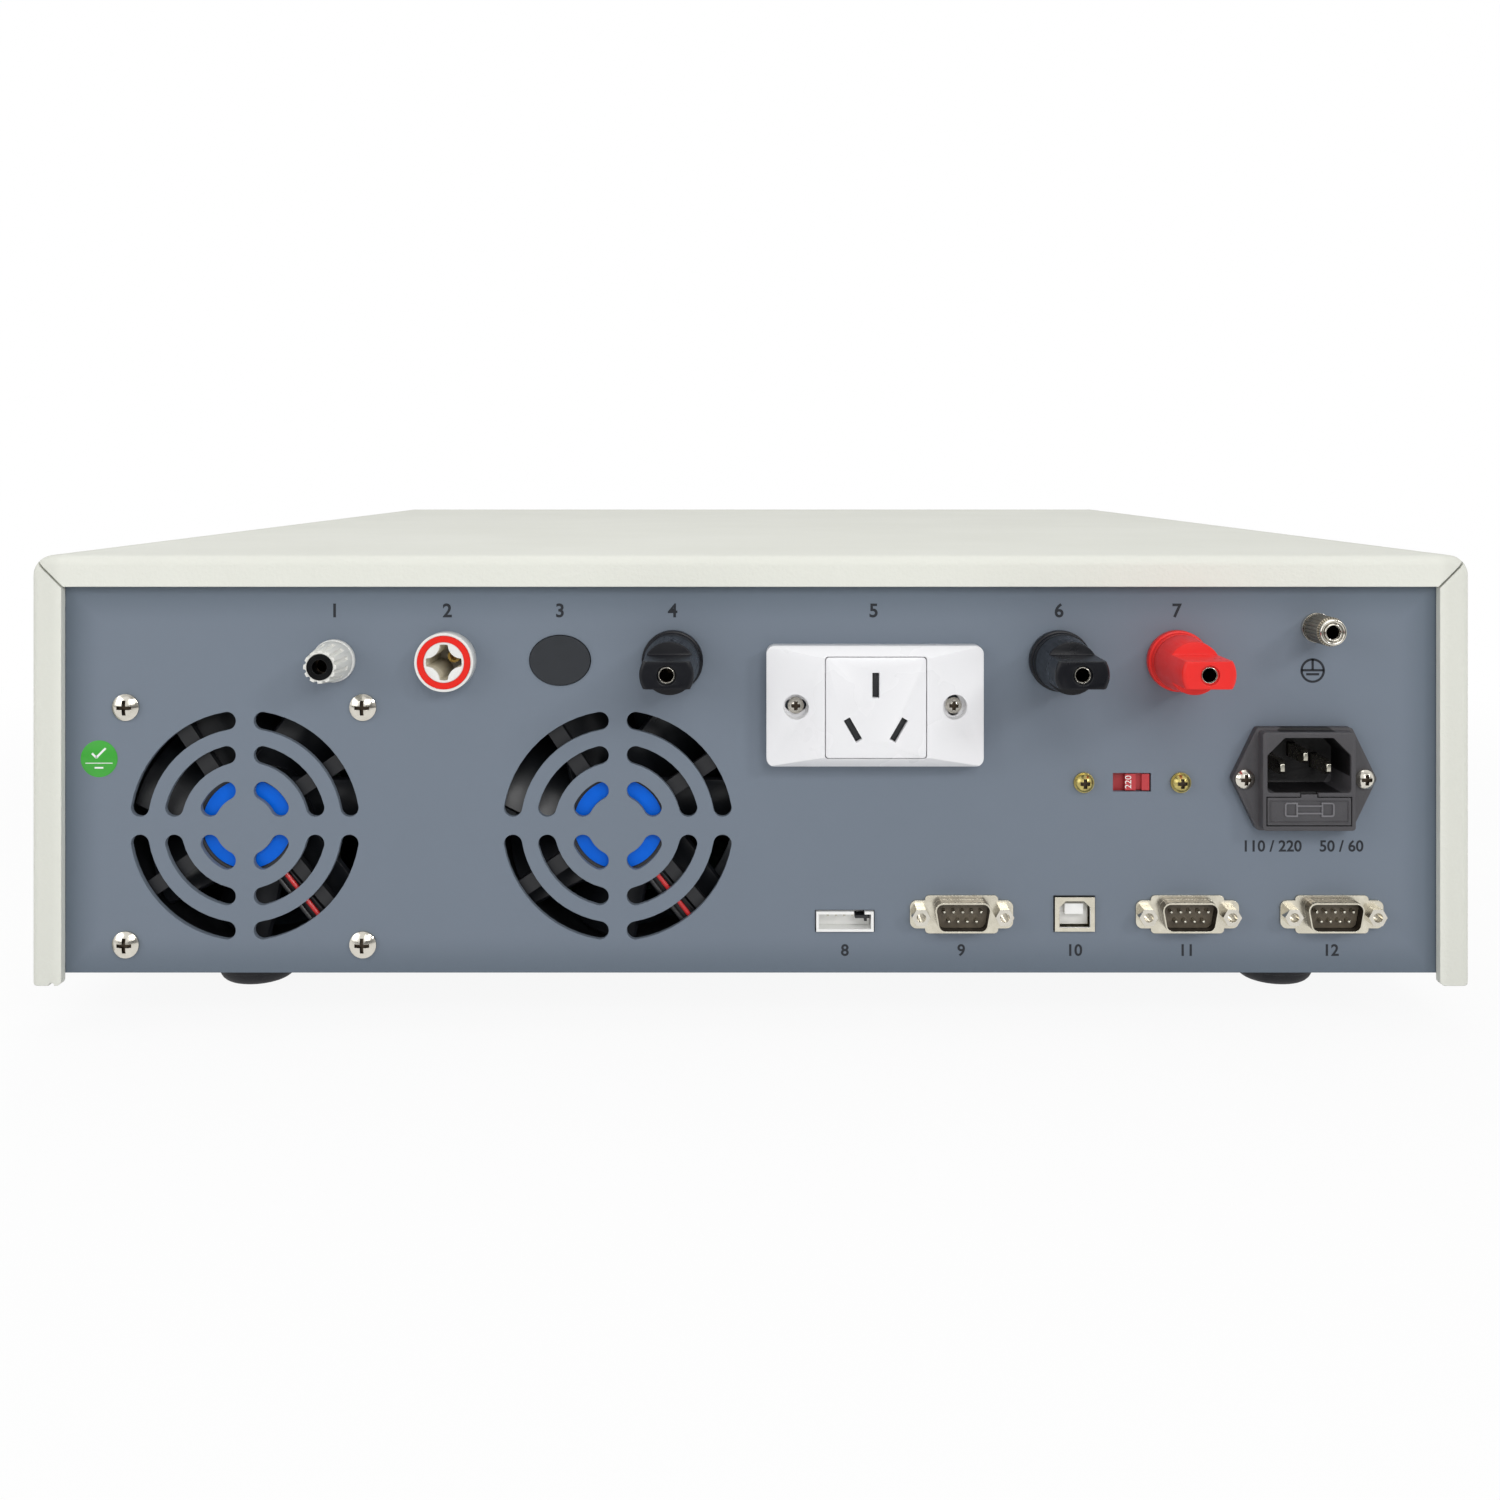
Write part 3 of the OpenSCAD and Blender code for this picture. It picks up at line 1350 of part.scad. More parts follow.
// The display's glass sits in the panel's hole, its board and frame behind the panel
display_lip = 5;
display_frame_in = 2;
display_module_t = 9;
module display_module() color("#8f959b") {
    back = -front_t - seat_gap;
    on_front(-across(display_u), z_mid) {
        block(display_w - 2 * display_lip, display_h - 2 * display_lip, back - eps, -glass_t - seat_gap);
        block(display_w - 2 * display_frame_in, display_h + display_frame_in,
            back - display_module_t, back);
    }
}

module push_button() {
    z0 = -front_t - seat_gap;
    dome = button_d * 1.2;
    intersection() {
        rod(button_d, z0 - eps, button_out);
        translate([0, 0, button_out - dome]) sphere(dome);
    }
    rod(button_d + 3, z0 - button_flange_t, z0);
    rod(plunger_d, -button_board_in + switch_t - 1.4, z0);
}

module start_button() color("#2f9e44") {
    on_front(across(button_u), z_mid + button_up) push_button();
}

module stop_button() color("#d03a33") {
    on_front(across(button_u) + button_pitch, z_mid + button_up) push_button();
}

module rocker_frame() color("#1d1e20") {
    on_front(rocker_x, z_mid - button_up) difference() {
        union() {
            linear_extrude(rocker_flange_t) round_rect(rocker_w, rocker_h, 2);
            block(rocker_w - 2.4, rocker_h - 2.4, -rocker_body_l, eps);
        }
        block(rocker_hole_w, rocker_hole_h, rocker_pivot - rocker_r - 0.5, rocker_flange_t + 1);
        translate([-rocker_w / 2, 0, rocker_pivot]) rotate([0, 90, 0])
            rod(rocker_pin_d + 2 * turn_gap, rocker_w / 2 - rocker_hole_w / 2 - rocker_pin_l - 0.2,
                rocker_w / 2 + rocker_hole_w / 2 + rocker_pin_l + 0.2);
    }
}

module power_rocker() color("#26282b") {
    w = rocker_hole_w - 2 * seat_gap;
    on_front(rocker_x, z_mid - button_up) translate([0, 0, rocker_pivot]) rotate([rocker_tilt, 0, 0]) {
        difference() {
            intersection() {
                translate([-w / 2, 0, 0]) rotate([0, 90, 0]) rod(2 * rocker_r, 0, w);
                block(w, 2 * rocker_r, -4, rocker_r);
            }
            // Two flat faces that meet in a shallow valley over the pivot
            translate([-rocker_w, 0, 5]) for (s = [0, 1]) mirror([0, s, 0])
                rotate([rocker_tilt, 0, 0]) cube([2 * rocker_w, rocker_h, rocker_h]);
        }
        translate([-w / 2 - rocker_pin_l, 0, 0]) rotate([0, 90, 0])
            rod(rocker_pin_d, 0, w + 2 * rocker_pin_l);
    }
}

// Inside the case
board_in = 60;
board_side_in = 10;
board_x = board_side_in + (board_w - case_w) / 2;
board_hole_in = 8;
plug_l = 8;
plug_w = 6;
capacitor_d = 18;
capacitor_h = 28;
capacitor_step = 24;
chip_w = 22;
chip_t = 3;
chip_step = 36;
part_in = 25;
z_board = z_floor + standoff_h;
y_board = y_inside + board_in;
heavy_u = 125;
heavy_in = 65;
potted_l = 70;
coil_out = 12;
core_foot_w = 12;
core_foot_t = 3;
core_foot_in = 1;
heavy_gap = 20;
bushing_d = 16;
bushing_h = 14;
sink_u = -110;
sink_w = 84;
sink_l = 110;
sink_base_t = 6;
sink_gap = 12;
fin_t = 2;

module board_places() {
    for (x = [-1, 1]) for (y = [board_hole_in, board_l - board_hole_in])
        translate([board_x + x * (board_w / 2 - board_hole_in), y_board + y, 0]) children();
}

module circuit_boards() color("#2c5f41") {
    top = z_board + board_t;
    // Main board with its plugs, capacitors and chips
    translate([board_x - board_w / 2, y_board, z_board]) cube([board_w, board_l, board_t]);
    for (u = fan_centres) {
        x = across(u) + (fan_bore / 2 + 2.5) * cos(strut_angles[3]);
        z = z_fan + (fan_bore / 2 + 2.5) * sin(strut_angles[3]);
        translate([x - plug_w / 2, y_board, top]) cube([plug_w, plug_l, z + 3 - top]);
    }
    translate([board_x - board_w / 2 + part_in, y_board, top]) {
        for (i = [0 : 3]) translate([capacitor_d / 2 + i * capacitor_step, board_l / 3, 0])
            cylinder(d = capacitor_d, h = capacitor_h);
        for (i = [0 : 4]) translate([i * chip_step, board_l * 2 / 3, 0]) cube([chip_w, chip_w, chip_t]);
    }
    // Upright board behind the ports
    translate([0, y_panel + port_depth + seat_gap, 0]) along_y(0, board_t)
        translate([across(header_u) - header_w, z_floor + seat_gap])
            square([across(port_3_u - header_u) + 2 * header_w, z_port - z_floor + port_h]);
    // Switch board behind the start and stop buttons
    on_front(across(button_u) + button_pitch / 2, z_mid + button_up)
        block(button_pitch + button_d, button_d + 6, -button_board_in - board_t, -button_board_in);
    button_places() difference() {
        block(switch_w, switch_w, -button_board_in - eps, -button_board_in + switch_t);
        rod(plunger_d + 2 * hole_gap, -button_board_in + switch_t - 2 - button_travel, 0);
    }
}

// Laminated core with a wound bobbin through both windows, standing on the tray
module power_transformer() color("#8a5a2b") {
    leg = core_w / 6;
    translate([across(heavy_u), y_inside + heavy_in, z_floor]) {
        translate([-core_w / 2, 0, 0]) cube([core_w, core_l, core_h]);
        translate([0, core_l / 2, leg]) linear_extrude(core_h - 2 * leg)
            round_rect(core_w - 2 * leg - 1, core_l + 2 * coil_out, 8);
        pair() translate([core_w / 2 - core_foot_in, 0, 0]) cube([core_foot_w, core_l, core_foot_t]);
    }
}

module hv_transformer() color("#1f2a38") {
    r = 6;
    translate([across(heavy_u), y_inside + heavy_in + core_l + 2 * coil_out + heavy_gap, z_floor]) {
        translate([0, potted_l / 2, 0]) linear_extrude(potted_h) round_rect(potted_w, potted_l, r);
        for (s = [-1, 1]) translate([s * potted_w / 4, potted_l / 2, potted_h - eps])
            cylinder(d1 = bushing_d, d2 = bushing_d / 2, h = bushing_h);
    }
}

module heat_sink() color("#a9adb2") {
    step = (sink_w - fin_t) / (fin_count - 1);
    translate([across(sink_u) - sink_w / 2, y_board + board_l + sink_gap, z_floor]) {
        cube([sink_w, sink_l, sink_base_t]);
        for (i = [0 : fin_count - 1]) translate([i * step, 0, 0]) cube([fin_t, sink_l, sink_h]);
    }
}

top_cover();
bottom_tray();
rear_panel();
front_panel();
front_bezel();
display_window();
display_module();
rubber_feet();
foot_screws();
cover_screws();
fan_frames();
fan_rotor_1();
fan_rotor_2();
fan_leads();
fan_screws();
fan_bracket();
return_base();
return_stem();
return_cap();
return_ring();
hv_socket_body();
hv_socket_ring();
blanking_plug();
post_bases();
live_base();
post_stems();
current_low_sleeve();
neutral_sleeve();
live_sleeve();
current_low_knob();
neutral_knob();
live_knob();
outlet_plate();
outlet_insert();
socket_contacts();
panel_screws();
selector_screws();
earth_stem();
earth_ring();
earth_nut();
inlet_housing();
inlet_pins();
fuse_drawer();
fuses();
selector_housing();
selector_slider();
signal_header();
port_shells();
port_inserts();
port_pins();
jackscrews();
data_tongue();
circuit_boards();
power_transformer();
hv_transformer();
heat_sink();
rocker_frame();
power_rocker();
start_button();
stop_button();
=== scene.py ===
"""Looks, lights and camera of a bench electrical safety tester, seen from its connector side."""

import logging
import math
from dataclasses import dataclass
from enum import Enum
from typing import Any, Callable, Iterable, Optional, Sequence

import bpy
from mathutils import Matrix, Vector


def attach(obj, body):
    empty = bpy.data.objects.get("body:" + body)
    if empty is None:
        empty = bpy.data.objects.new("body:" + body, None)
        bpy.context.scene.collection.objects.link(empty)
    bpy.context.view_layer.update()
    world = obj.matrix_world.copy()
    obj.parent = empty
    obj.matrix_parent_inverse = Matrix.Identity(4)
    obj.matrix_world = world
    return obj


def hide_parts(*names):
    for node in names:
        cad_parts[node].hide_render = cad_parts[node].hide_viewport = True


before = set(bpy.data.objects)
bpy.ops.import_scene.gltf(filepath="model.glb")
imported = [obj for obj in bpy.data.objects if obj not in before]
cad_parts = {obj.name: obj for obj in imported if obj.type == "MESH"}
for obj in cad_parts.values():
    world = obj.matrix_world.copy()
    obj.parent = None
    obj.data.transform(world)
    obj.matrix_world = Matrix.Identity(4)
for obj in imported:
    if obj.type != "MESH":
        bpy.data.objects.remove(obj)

LOG = logging.getLogger("tester")
MM = 0.001
Tree, Socket = bpy.types.NodeTree, bpy.types.NodeSocket
Pair, Triple = tuple[float, float], tuple[float, float, float]
Zone = Optional[tuple[float, float, float, float, str]]


@dataclass(frozen=True)
class Case:
    """Faces of the case and rows of its fittings in millimetres, as in the part's source."""

    y_rim: float = -236.75
    y_panel: float = -233.75
    y_face: float = 261.75
    z_row: float = 112.2
    z_earth: float = 122.1
    z_outlet: float = 99.2
    z_fan: float = 62.3
    z_inlet: float = 77.0
    z_selector: float = 75.4
    z_port: float = 35.8
    z_header: float = 33.6


CASE = Case()


class Body(str, Enum):
    """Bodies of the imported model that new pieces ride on."""

    CASE = "case"
    RETURN_CAP = "return_turn"
    LOW_KNOB = "current_low_turn"
    NEUTRAL_KNOB = "neutral_turn"
    LIVE_KNOB = "live_turn"
    EARTH_NUT = "earth_turn"
    DRAWER = "fuse_drawer"
    SELECTOR = "selector"
    ROCKER = "rocker"


# Materials


def linear(hex_colour: str) -> tuple[float, ...]:
    """Turns an sRGB colour written as #rrggbb to linear light with an alpha of 1."""
    parts = [int(hex_colour[i:i + 2], 16) / 255 for i in (1, 3, 5)]
    return (*(((p + 0.055) / 1.055) ** 2.4 if p > 0.04045 else p / 12.92 for p in parts), 1.0)


def add_node(tree: Tree, kind: str, links: Optional[dict[Any, Any]] = None,
             **settings: Any) -> bpy.types.Node:
    """Adds one node with its settings and links.

    Args:
        tree: The node tree that gets it.
        kind: The node's type name.
        links: Input name or number to an output socket or a plain value.
        settings: Values for the node's own attributes.

    Returns:
        The new node.
    """
    made = tree.nodes.new(kind)
    for name, value in settings.items():
        setattr(made, name, value)
    for name, value in (links or {}).items():
        if isinstance(value, Socket):
            tree.links.new(value, made.inputs[name])
        else:
            made.inputs[name].default_value = value
    return made


def fresh_tree(owner: Any) -> Tree:
    """Gives a material or a world an empty node tree."""
    owner.use_nodes = True
    owner.node_tree.nodes.clear()
    return owner.node_tree


def calc(tree: Tree, operation: str, *values: Any) -> Socket:
    """One step of arithmetic on sockets or plain values."""
    return add_node(tree, "ShaderNodeMath", dict(enumerate(values)), operation=operation).outputs[0]


def ramp(tree: Tree, value: Socket, span: Pair, result: Pair = (0.0, 1.0),
         soft: bool = False) -> Socket:
    """Maps a value from one span to another, held at the ends, with soft ends if asked."""
    return add_node(tree, "ShaderNodeMapRange", {
        "Value": value, "From Min": span[0], "From Max": span[1], "To Min": result[0],
        "To Max": result[1]},
        interpolation_type="SMOOTHSTEP" if soft else "LINEAR").outputs["Result"]


def tint(tree: Tree, part: Socket, under: Any, over: Any, how: str = "MIX") -> Socket:
    """Lays one colour over another by a part from 0 to 1."""
    return add_node(tree, "ShaderNodeMix", {0: part, 6: under, 7: over}, data_type="RGBA",
                    blend_type=how).outputs[2]


def noise(tree: Tree, where: Socket, size_mm: float, detail: float, roughness: float,
          distortion: float = 0.0) -> Socket:
    """Cloudy noise whose cells measure size_mm: its scale is cells per metre."""
    return add_node(tree, "ShaderNodeTexNoise", {
        "Vector": where, "Scale": 1000 / size_mm, "Detail": detail, "Roughness": roughness,
        "Distortion": distortion}).outputs[0]


def along(tree: Tree, place: Socket) -> Any:
    """The three axes of a place, by name."""
    return add_node(tree, "ShaderNodeSeparateXYZ", {0: place}).outputs


@dataclass(frozen=True)
class Finish:
    """A finish: how a surface was made, its colours, its gloss and its grain.

    Sizes are real millimetres. The mottle varies the colour softly, the grain is the bump of the
    surface, the scuff adds faint paler marks, and edge_mm rounds the edges in the shading.
    A hole shade is the x, z, radius, level and colour of painted shade inside a hole. An edge
    shade is the half width, low side, high side, fade and colour of painted shade along a
    panel's edges. A knurl is an axis's x and z, ridges and pitch; its grooves get painted shade.
    """

    name: str
    colour: str
    second: str
    roughness: float
    grain_mm: float = 0.8
    grain: float = 0.1
    mottle_mm: float = 12.0
    edge_mm: float = 0.0
    mottle: float = 0.5
    metallic: float = 0.0
    ior: float = 1.5
    gloss_swing: float = 0.06
    stretch: Triple = (1.0, 1.0, 1.0)
    scuff: float = 0.0
    sheen: float = 0.0
    coat: float = 0.0
    transmission: float = 0.0
    lining: Zone = None
    border: Zone = None
    knurl: Optional[tuple[float, float, int, float]] = None

    def make(self) -> bpy.types.Material:
        """Builds the material once and gives it back with its node tree."""
        known = bpy.data.materials.get(self.name)
        if known:
            return known
        material = bpy.data.materials.new(self.name)
        material.diffuse_color = linear(self.colour)
        tree = fresh_tree(material)
        place = add_node(tree, "ShaderNodeTexCoord").outputs["Object"]
        where = add_node(tree, "ShaderNodeMapping", {
            "Vector": place, "Scale": self.stretch}).outputs["Vector"]
        soft, middle = noise(tree, where, self.mottle_mm, 4.0, 0.55), (0.3, 0.7)
        shade = ramp(tree, soft, middle, (0.5 - self.mottle / 2, 0.5 + self.mottle / 2))
        colour = tint(tree, shade, linear(self.colour), linear(self.second))
        if self.scuff:
            worn = ramp(tree, noise(tree, place, 30, 8.0, 0.75, 0.6), (0.6, 0.75),
                        (0.0, self.scuff))
            colour = tint(tree, worn, colour, linear("#ffffff"), "SOFT_LIGHT")
        # Painted shade by real place: darker inside a hole, or along a panel's edges.
        if self.lining or self.border:
            colour = self.zoned(tree, place, colour)
        height = noise(tree, where, self.grain_mm, 3.0, 0.6)
        if self.knurl:
            height, colour = self.knurled(tree, place, colour)
        lifted = {"Strength": 1.0, "Distance": self.grain * MM, "Height": height}
        if self.edge_mm:
            lifted["Normal"] = add_node(tree, "ShaderNodeBevel", {
                "Radius": self.edge_mm * MM}, samples=4).outputs["Normal"]
        shader = add_node(tree, "ShaderNodeBsdfPrincipled", {
            "Base Color": colour, "Metallic": self.metallic, "IOR": self.ior,
            "Roughness": ramp(tree, soft, middle, (
                max(0.02, self.roughness - self.gloss_swing),
                min(1.0, self.roughness + self.gloss_swing))),
            "Coat Weight": self.coat, "Coat Roughness": 0.1, "Sheen Weight": self.sheen,
            "Transmission Weight": self.transmission,
            "Normal": add_node(tree, "ShaderNodeBump", lifted).outputs["Normal"]})
        add_node(tree, "ShaderNodeOutputMaterial", {"Surface": shader.outputs["BSDF"]})
        return material

    def zoned(self, tree: Tree, place: Socket, under: Socket) -> Socket:
        """Paints shade by real place: darker inside a hole, or softly darker along a panel's edges.

        Args:
            tree: The material's tree.
            place: Object coordinates.
            under: The colour so far.

        Returns:
            The colour with its zone.
        """
        axes = along(tree, place)
        if self.lining:
            x, z, radius, level, colour = self.lining
            flat = add_node(tree, "ShaderNodeCombineXYZ", {0: axes["X"], 2: axes["Z"]}).outputs[0]
            far = add_node(tree, "ShaderNodeVectorMath", {0: flat, 1: (x * MM, 0, z * MM)},
                           operation="DISTANCE").outputs["Value"]
            part = calc(tree, "MULTIPLY", calc(tree, "LESS_THAN", far, radius * MM),
                        calc(tree, "GREATER_THAN", axes["Y"], level * MM))
        else:
            half, low, high, fade, colour = self.border
            sides, top, foot = (
                ramp(tree, value, (a * MM, b * MM), soft=True) for value, a, b in (
                    (calc(tree, "ABSOLUTE", axes["X"]), half - fade, half),
                    (axes["Z"], high - fade, high), (axes["Z"], low + fade, low)))
            part = calc(tree, "MAXIMUM", calc(tree, "MAXIMUM", sides, top), foot)
        return tint(tree, part, under, linear(colour))

    def knurled(self, tree: Tree, place: Socket, under: Socket) -> tuple[Socket, Socket]:
        """Cuts a diamond knurl round an axis: two sets of helical grooves that cross.

        Args:
            tree: The material's tree.
            place: Object coordinates.
            under: The colour so far.

        Returns:
            The height of the knurl and the colour with painted shade in its grooves.
        """
        x, z, ridges, pitch = self.knurl
        axes = along(tree, place)
        turn = calc(tree, "ARCTAN2", calc(tree, "SUBTRACT", axes["Z"], z * MM),
                    calc(tree, "SUBTRACT", axes["X"], x * MM))
        # One groove every pitch along the axis, leaning one way and then the other.
        waves = [calc(tree, "SINE", calc(
            tree, "MULTIPLY_ADD", turn, float(ridges),
            calc(tree, "MULTIPLY", axes["Y"], side * 2000 * math.pi / pitch)))
            for side in (1, -1)]
        height = ramp(tree, calc(tree, "MINIMUM", *waves), (-1.0, 0.2))
        # Painted shade: the colour darkens toward the bottoms of the grooves.
        dark = ramp(tree, height, (0.0, 1.0), (0.16, 1.0))
        return height, tint(tree, dark, linear("#1d1a15"), under)


class Stock(Enum):
    """Every finish of the instrument, named for what the real one is.

    The numbers in a row are roughness, grain_mm, grain, mottle_mm and edge_mm.
    """

    # Epoxy powder coat baked on steel: matt, warm off-white, with a fine pebbled skin. Its side
    # legs carry painted shade, a little darker than its top.
    COVER_POWDER = Finish(
        "powder_coat_warm_white", "#e4e5dc", "#dedfd6", 0.62, 1.1, 0.16, 60, 0.4, mottle=0.4,
        scuff=0.15, border=(210.0, -1000.0, 1000.0, 4.0, "#d9dad1"))
    # Smooth matt powder coat, blue grey, with soft large clouds, and painted shade darkening it
    # along its edges under the rim.
    PANEL_POWDER = Finish(
        "powder_coat_blue_grey", "#737d8a", "#707a86", 0.6, 0.6, 0.02, 90, 0.25, mottle=0.5,
        ior=1.4, border=(206.6, 18.0, 134.6, 12.0, "#626d79"))
    # Darker matt powder coat of the operator's front.
    FRONT_POWDER = Finish("powder_coat_dark_grey", "#4a5058", "#444a52", 0.58, 0.7, 0.03, 70, 0.3)
    # Screen-printed epoxy ink, almost black, slightly uneven at the edge.
    INK = Finish("printed_dark_ink", "#0c121b", "#121822", 0.6, 0.3, 0.01, 3)
    # White ink of the sticker, the rocker and the selector.
    WHITE_INK = Finish("printed_white_ink", "#f4f6f3", "#e9ece8", 0.5, 0.3, 0.005, 3)
    # Pale ink of the front's marks.
    PALE_INK = Finish("printed_pale_ink", "#dfe3e6", "#d3d8dc", 0.6, 0.3, 0.01, 3)
    # Chemically tempered glass over a black mask: deep, wet gloss.
    TOUCH_GLASS = Finish(
        "tempered_touch_glass", "#0c0e11", "#11151a", 0.06, 4, 0.002, 12.0, 0.3, gloss_swing=0.02)
    # Zinc-plated sheet steel, faintly rolled.
    ZINC_SHEET = Finish(
        "zinc_plated_sheet", "#a3a8ad", "#8e9399", 0.38, 1.2, 0.02, 9, 0.2, metallic=1.0,
        stretch=(1.0, 6.0, 1.0))
    # Nickel plate on a pressed screw: bright, slightly yellow grey.
    NICKEL = Finish("nickel_plate", "#dedad0", "#c9c4b8", 0.16, 0.6, 0.008, 2.5, 0.15, metallic=1.0)
    # Yellow passivated zinc with its rainbow-brown clouds.
    YELLOW_ZINC = Finish(
        "yellow_zinc_plate", "#d2c277", "#a89a63", 0.3, 0.5, 0.01, 2.0, 0.15, mottle=0.9,
        metallic=1.0)
    # Knurled nickel-plated brass, a warmer grey, with painted shade in the knurl's grooves.
    KNURLED_NICKEL = Finish(
        "knurled_nickel_brass", "#c9c2b3", "#a59d8c", 0.34, 0.8, 0.12, 1.5, metallic=1.0,
        knurl=(170.4, 122.1, 34, 0.8))
    # Turned brass with fine rings across its axis.
    TURNED_BRASS = Finish(
        "turned_brass", "#cfae62", "#b08c45", 0.25, 0.4, 0.015, 4, 0.1, metallic=1.0, stretch=(1.0,
        9.0, 1.0))
    # Plated brass deep in a bore, darkened as painted shade.
    DARK_BORE = Finish(
        "plated_brass_painted_bore_shade", "#4a4136", "#2e2820", 0.35, 0.4, 0.015, 3, metallic=1.0)
    # Vulcanised rubber, moulded: dark, dusty, nearly matt.
    RUBBER = Finish("vulcanised_rubber", "#15151b", "#1f1f25", 0.72, 0.7, 0.05, 8, 0.5, sheen=0.15)
    # Glass-filled polyester of the fan frames, moulded satin.
    FAN_FRAME = Finish("moulded_pbt_black", "#16171a", "#1d1e22", 0.5, 0.5, 0.02, 6, 0.3)
    # The blades come from a polished mould and shine a little more.
    FAN_BLADE = Finish("moulded_pbt_blade", "#1b1d21", "#23262b", 0.33, 0.8, 0.015, 8, 0.3)
    # Paper label on the hub, solid blue under a clear varnish.
    HUB_LABEL = Finish("varnished_blue_label", "#006ce8", "#0064dc", 0.35, 1.0, 0.01, 5, ior=1.25)
    # Polyvinyl chloride insulation, extruded.
    WIRE_RED = Finish("pvc_insulation_red", "#d8282a", "#c02224", 0.35, 0.6, 0.01, 3)
    WIRE_BLACK = Finish("pvc_insulation_black", "#141416", "#1b1b1e", 0.38, 0.6, 0.01, 3)
    # Galvanised sheet with its large flat crystals.
    GALVANISED = Finish(
        "galvanised_sheet", "#9da3a8", "#878d93", 0.42, 2, 0.01, 6, 0.2, mottle=0.8, metallic=1.0)
    # Polyamide, moulded in gloss tools: a cool white.
    # The socket's plug hole gets painted shade, a darker beige inside it.
    HV_WHITE = Finish(
        "moulded_nylon_socket", "#ebebe8", "#e2e2de", 0.3, 0.9, 0.012, 10, 0.3, coat=0.15,
        lining=(-91.5, 112.2, 5.5, -239.0, "#d6cfbc"))
    WHITE_NYLON = Finish(
        "moulded_nylon_white", "#ebebe8", "#e2e2de", 0.3, 0.9, 0.012, 10, 0.3, coat=0.15)
    CAP_WHITE = Finish("moulded_acetal_white", "#e7e7e2", "#dcdcd6", 0.38, 0.6, 0.012, 6, 0.25)
    OUTLET_WHITE = Finish(
        "moulded_polycarbonate_white", "#eeeef0", "#ebebed", 0.28, 1.2, 0.01, 40, 0.35, mottle=0.3,
        coat=0.2)
    HEADER_WHITE = Finish("moulded_pbt_white", "#f6f6f4", "#efefec", 0.36, 0.6, 0.01, 5, 0.15)
    RING_RED = Finish("moulded_nylon_red", "#ec281c", "#e22318", 0.32, 0.6, 0.01, 4, 0.15, ior=1.35)
    RING_BLACK = Finish(
        "moulded_nylon_black", "#08090a", "#0d0e10", 0.18, 0.6, 0.01, 4, 0.15, ior=1.45)
    PLUG_GREY = Finish(
        "moulded_polyethylene_grey", "#26292d", "#2b2e33", 0.55, 0.7, 0.02, 5, 0.3, ior=1.4)
    # Binding posts: phenolic, dark blue black, polished mould with softly rounded edges.
    POST_BLACK = Finish(
        "moulded_phenolic_black", "#0a0b11", "#0e1017", 0.3, 0.7, 0.015, 7, 0.5, ior=1.35)
    POST_RED = Finish(
        "moulded_phenolic_red", "#ee2e2a", "#e42b27", 0.33, 0.7, 0.015, 7, 0.5, ior=1.35)
    # Pressed steel deep in a screw's cross, darkened as painted shade.
    RECESS = Finish("pressed_steel_painted_recess_shade", "#5b5044", "#3b342c", 0.4, 0.4, 0.01, 1.2, metallic=1.0)
    # Inlet: polyester with a sparked satin face, its cavity darkened to near black as painted
    # shade.
    INLET_BLACK = Finish(
        "moulded_polyester_charcoal", "#4e4d50", "#454447", 0.5, 0.6, 0.07, 8, 0.35, ior=1.4,
        lining=(166.0, 81.8, 12.9, -239.6, "#141315"))
    # The relief's ridges, painted paler as a painted highlight.
    INLET_RELIEF = Finish("moulded_polyester_ridge_highlight", "#767579", "#656468", 0.4, 0.6, 0.02, 4, 0.1)
    TIN = Finish("tin_plate", "#d8d5c8", "#bcb8aa", 0.28, 0.5, 0.008, 2, 0.1, metallic=1.0)
    # Drawn steel shell under satin nickel.
    SHELL_NICKEL = Finish(
        "drawn_shell_nickel", "#e2ddcd", "#cbc5b4", 0.24, 0.5, 0.008, 3, 0.12, metallic=1.0)
    # The drawn walls and the return jack's stem, glossy, darkened as painted shade in uneven
    # patches.
    SHELL_WALL = Finish(
        "drawn_shell_wall_painted_shade", "#5e5549", "#2f2a25", 0.2, 0.5, 0.008, 1.6, 0.12, mottle=1.0,
        metallic=1.0)
    INSERT_BROWN = Finish("moulded_insert_brown", "#6f6555", "#574e40", 0.5, 0.5, 0.015, 3, 0.1)
    SELECTOR_BLACK = Finish(
        "moulded_selector_black", "#1c1d1f", "#242528", 0.45, 0.5, 0.015, 4, 0.15)
    SELECTOR_RED = Finish("moulded_selector_red", "#c43c42", "#ae3238", 0.4, 0.5, 0.015, 3, 0.15)
    STICKER_GREEN = Finish(
        "varnished_green_label", "#35a82c", "#2f9c28", 0.4, 1.0, 0.01, 4, coat=0.3)
    FUSE_GLASS = Finish(
        "drawn_fuse_glass", "#e4e8e6", "#d8dedb", 0.05, 2, 0.002, 12.0, gloss_swing=0.02,
        transmission=0.9)
    BOARD = Finish("solder_mask_green", "#2b5f40", "#245236", 0.35, 1.0, 0.02, 5, coat=0.3)
    CORE = Finish(
        "varnished_laminations", "#5a4b3c", "#3f352b", 0.5, 0.5, 0.05, 20, metallic=0.4,
        stretch=(1.0, 8.0, 1.0))
    POTTING = Finish("cast_epoxy_blue_black", "#1f2a38", "#263344", 0.25, 3, 0.03, 20, 0.6)
    SINK = Finish(
        "extruded_aluminium", "#b0b4b8", "#9da1a6", 0.35, 0.5, 0.02, 6, 0.2, metallic=1.0,
        stretch=(4.0, 0.3, 4.0))
    ROCKER = Finish("moulded_nylon_rocker", "#1f2124", "#282a2e", 0.32, 0.8, 0.012, 6, 0.35)
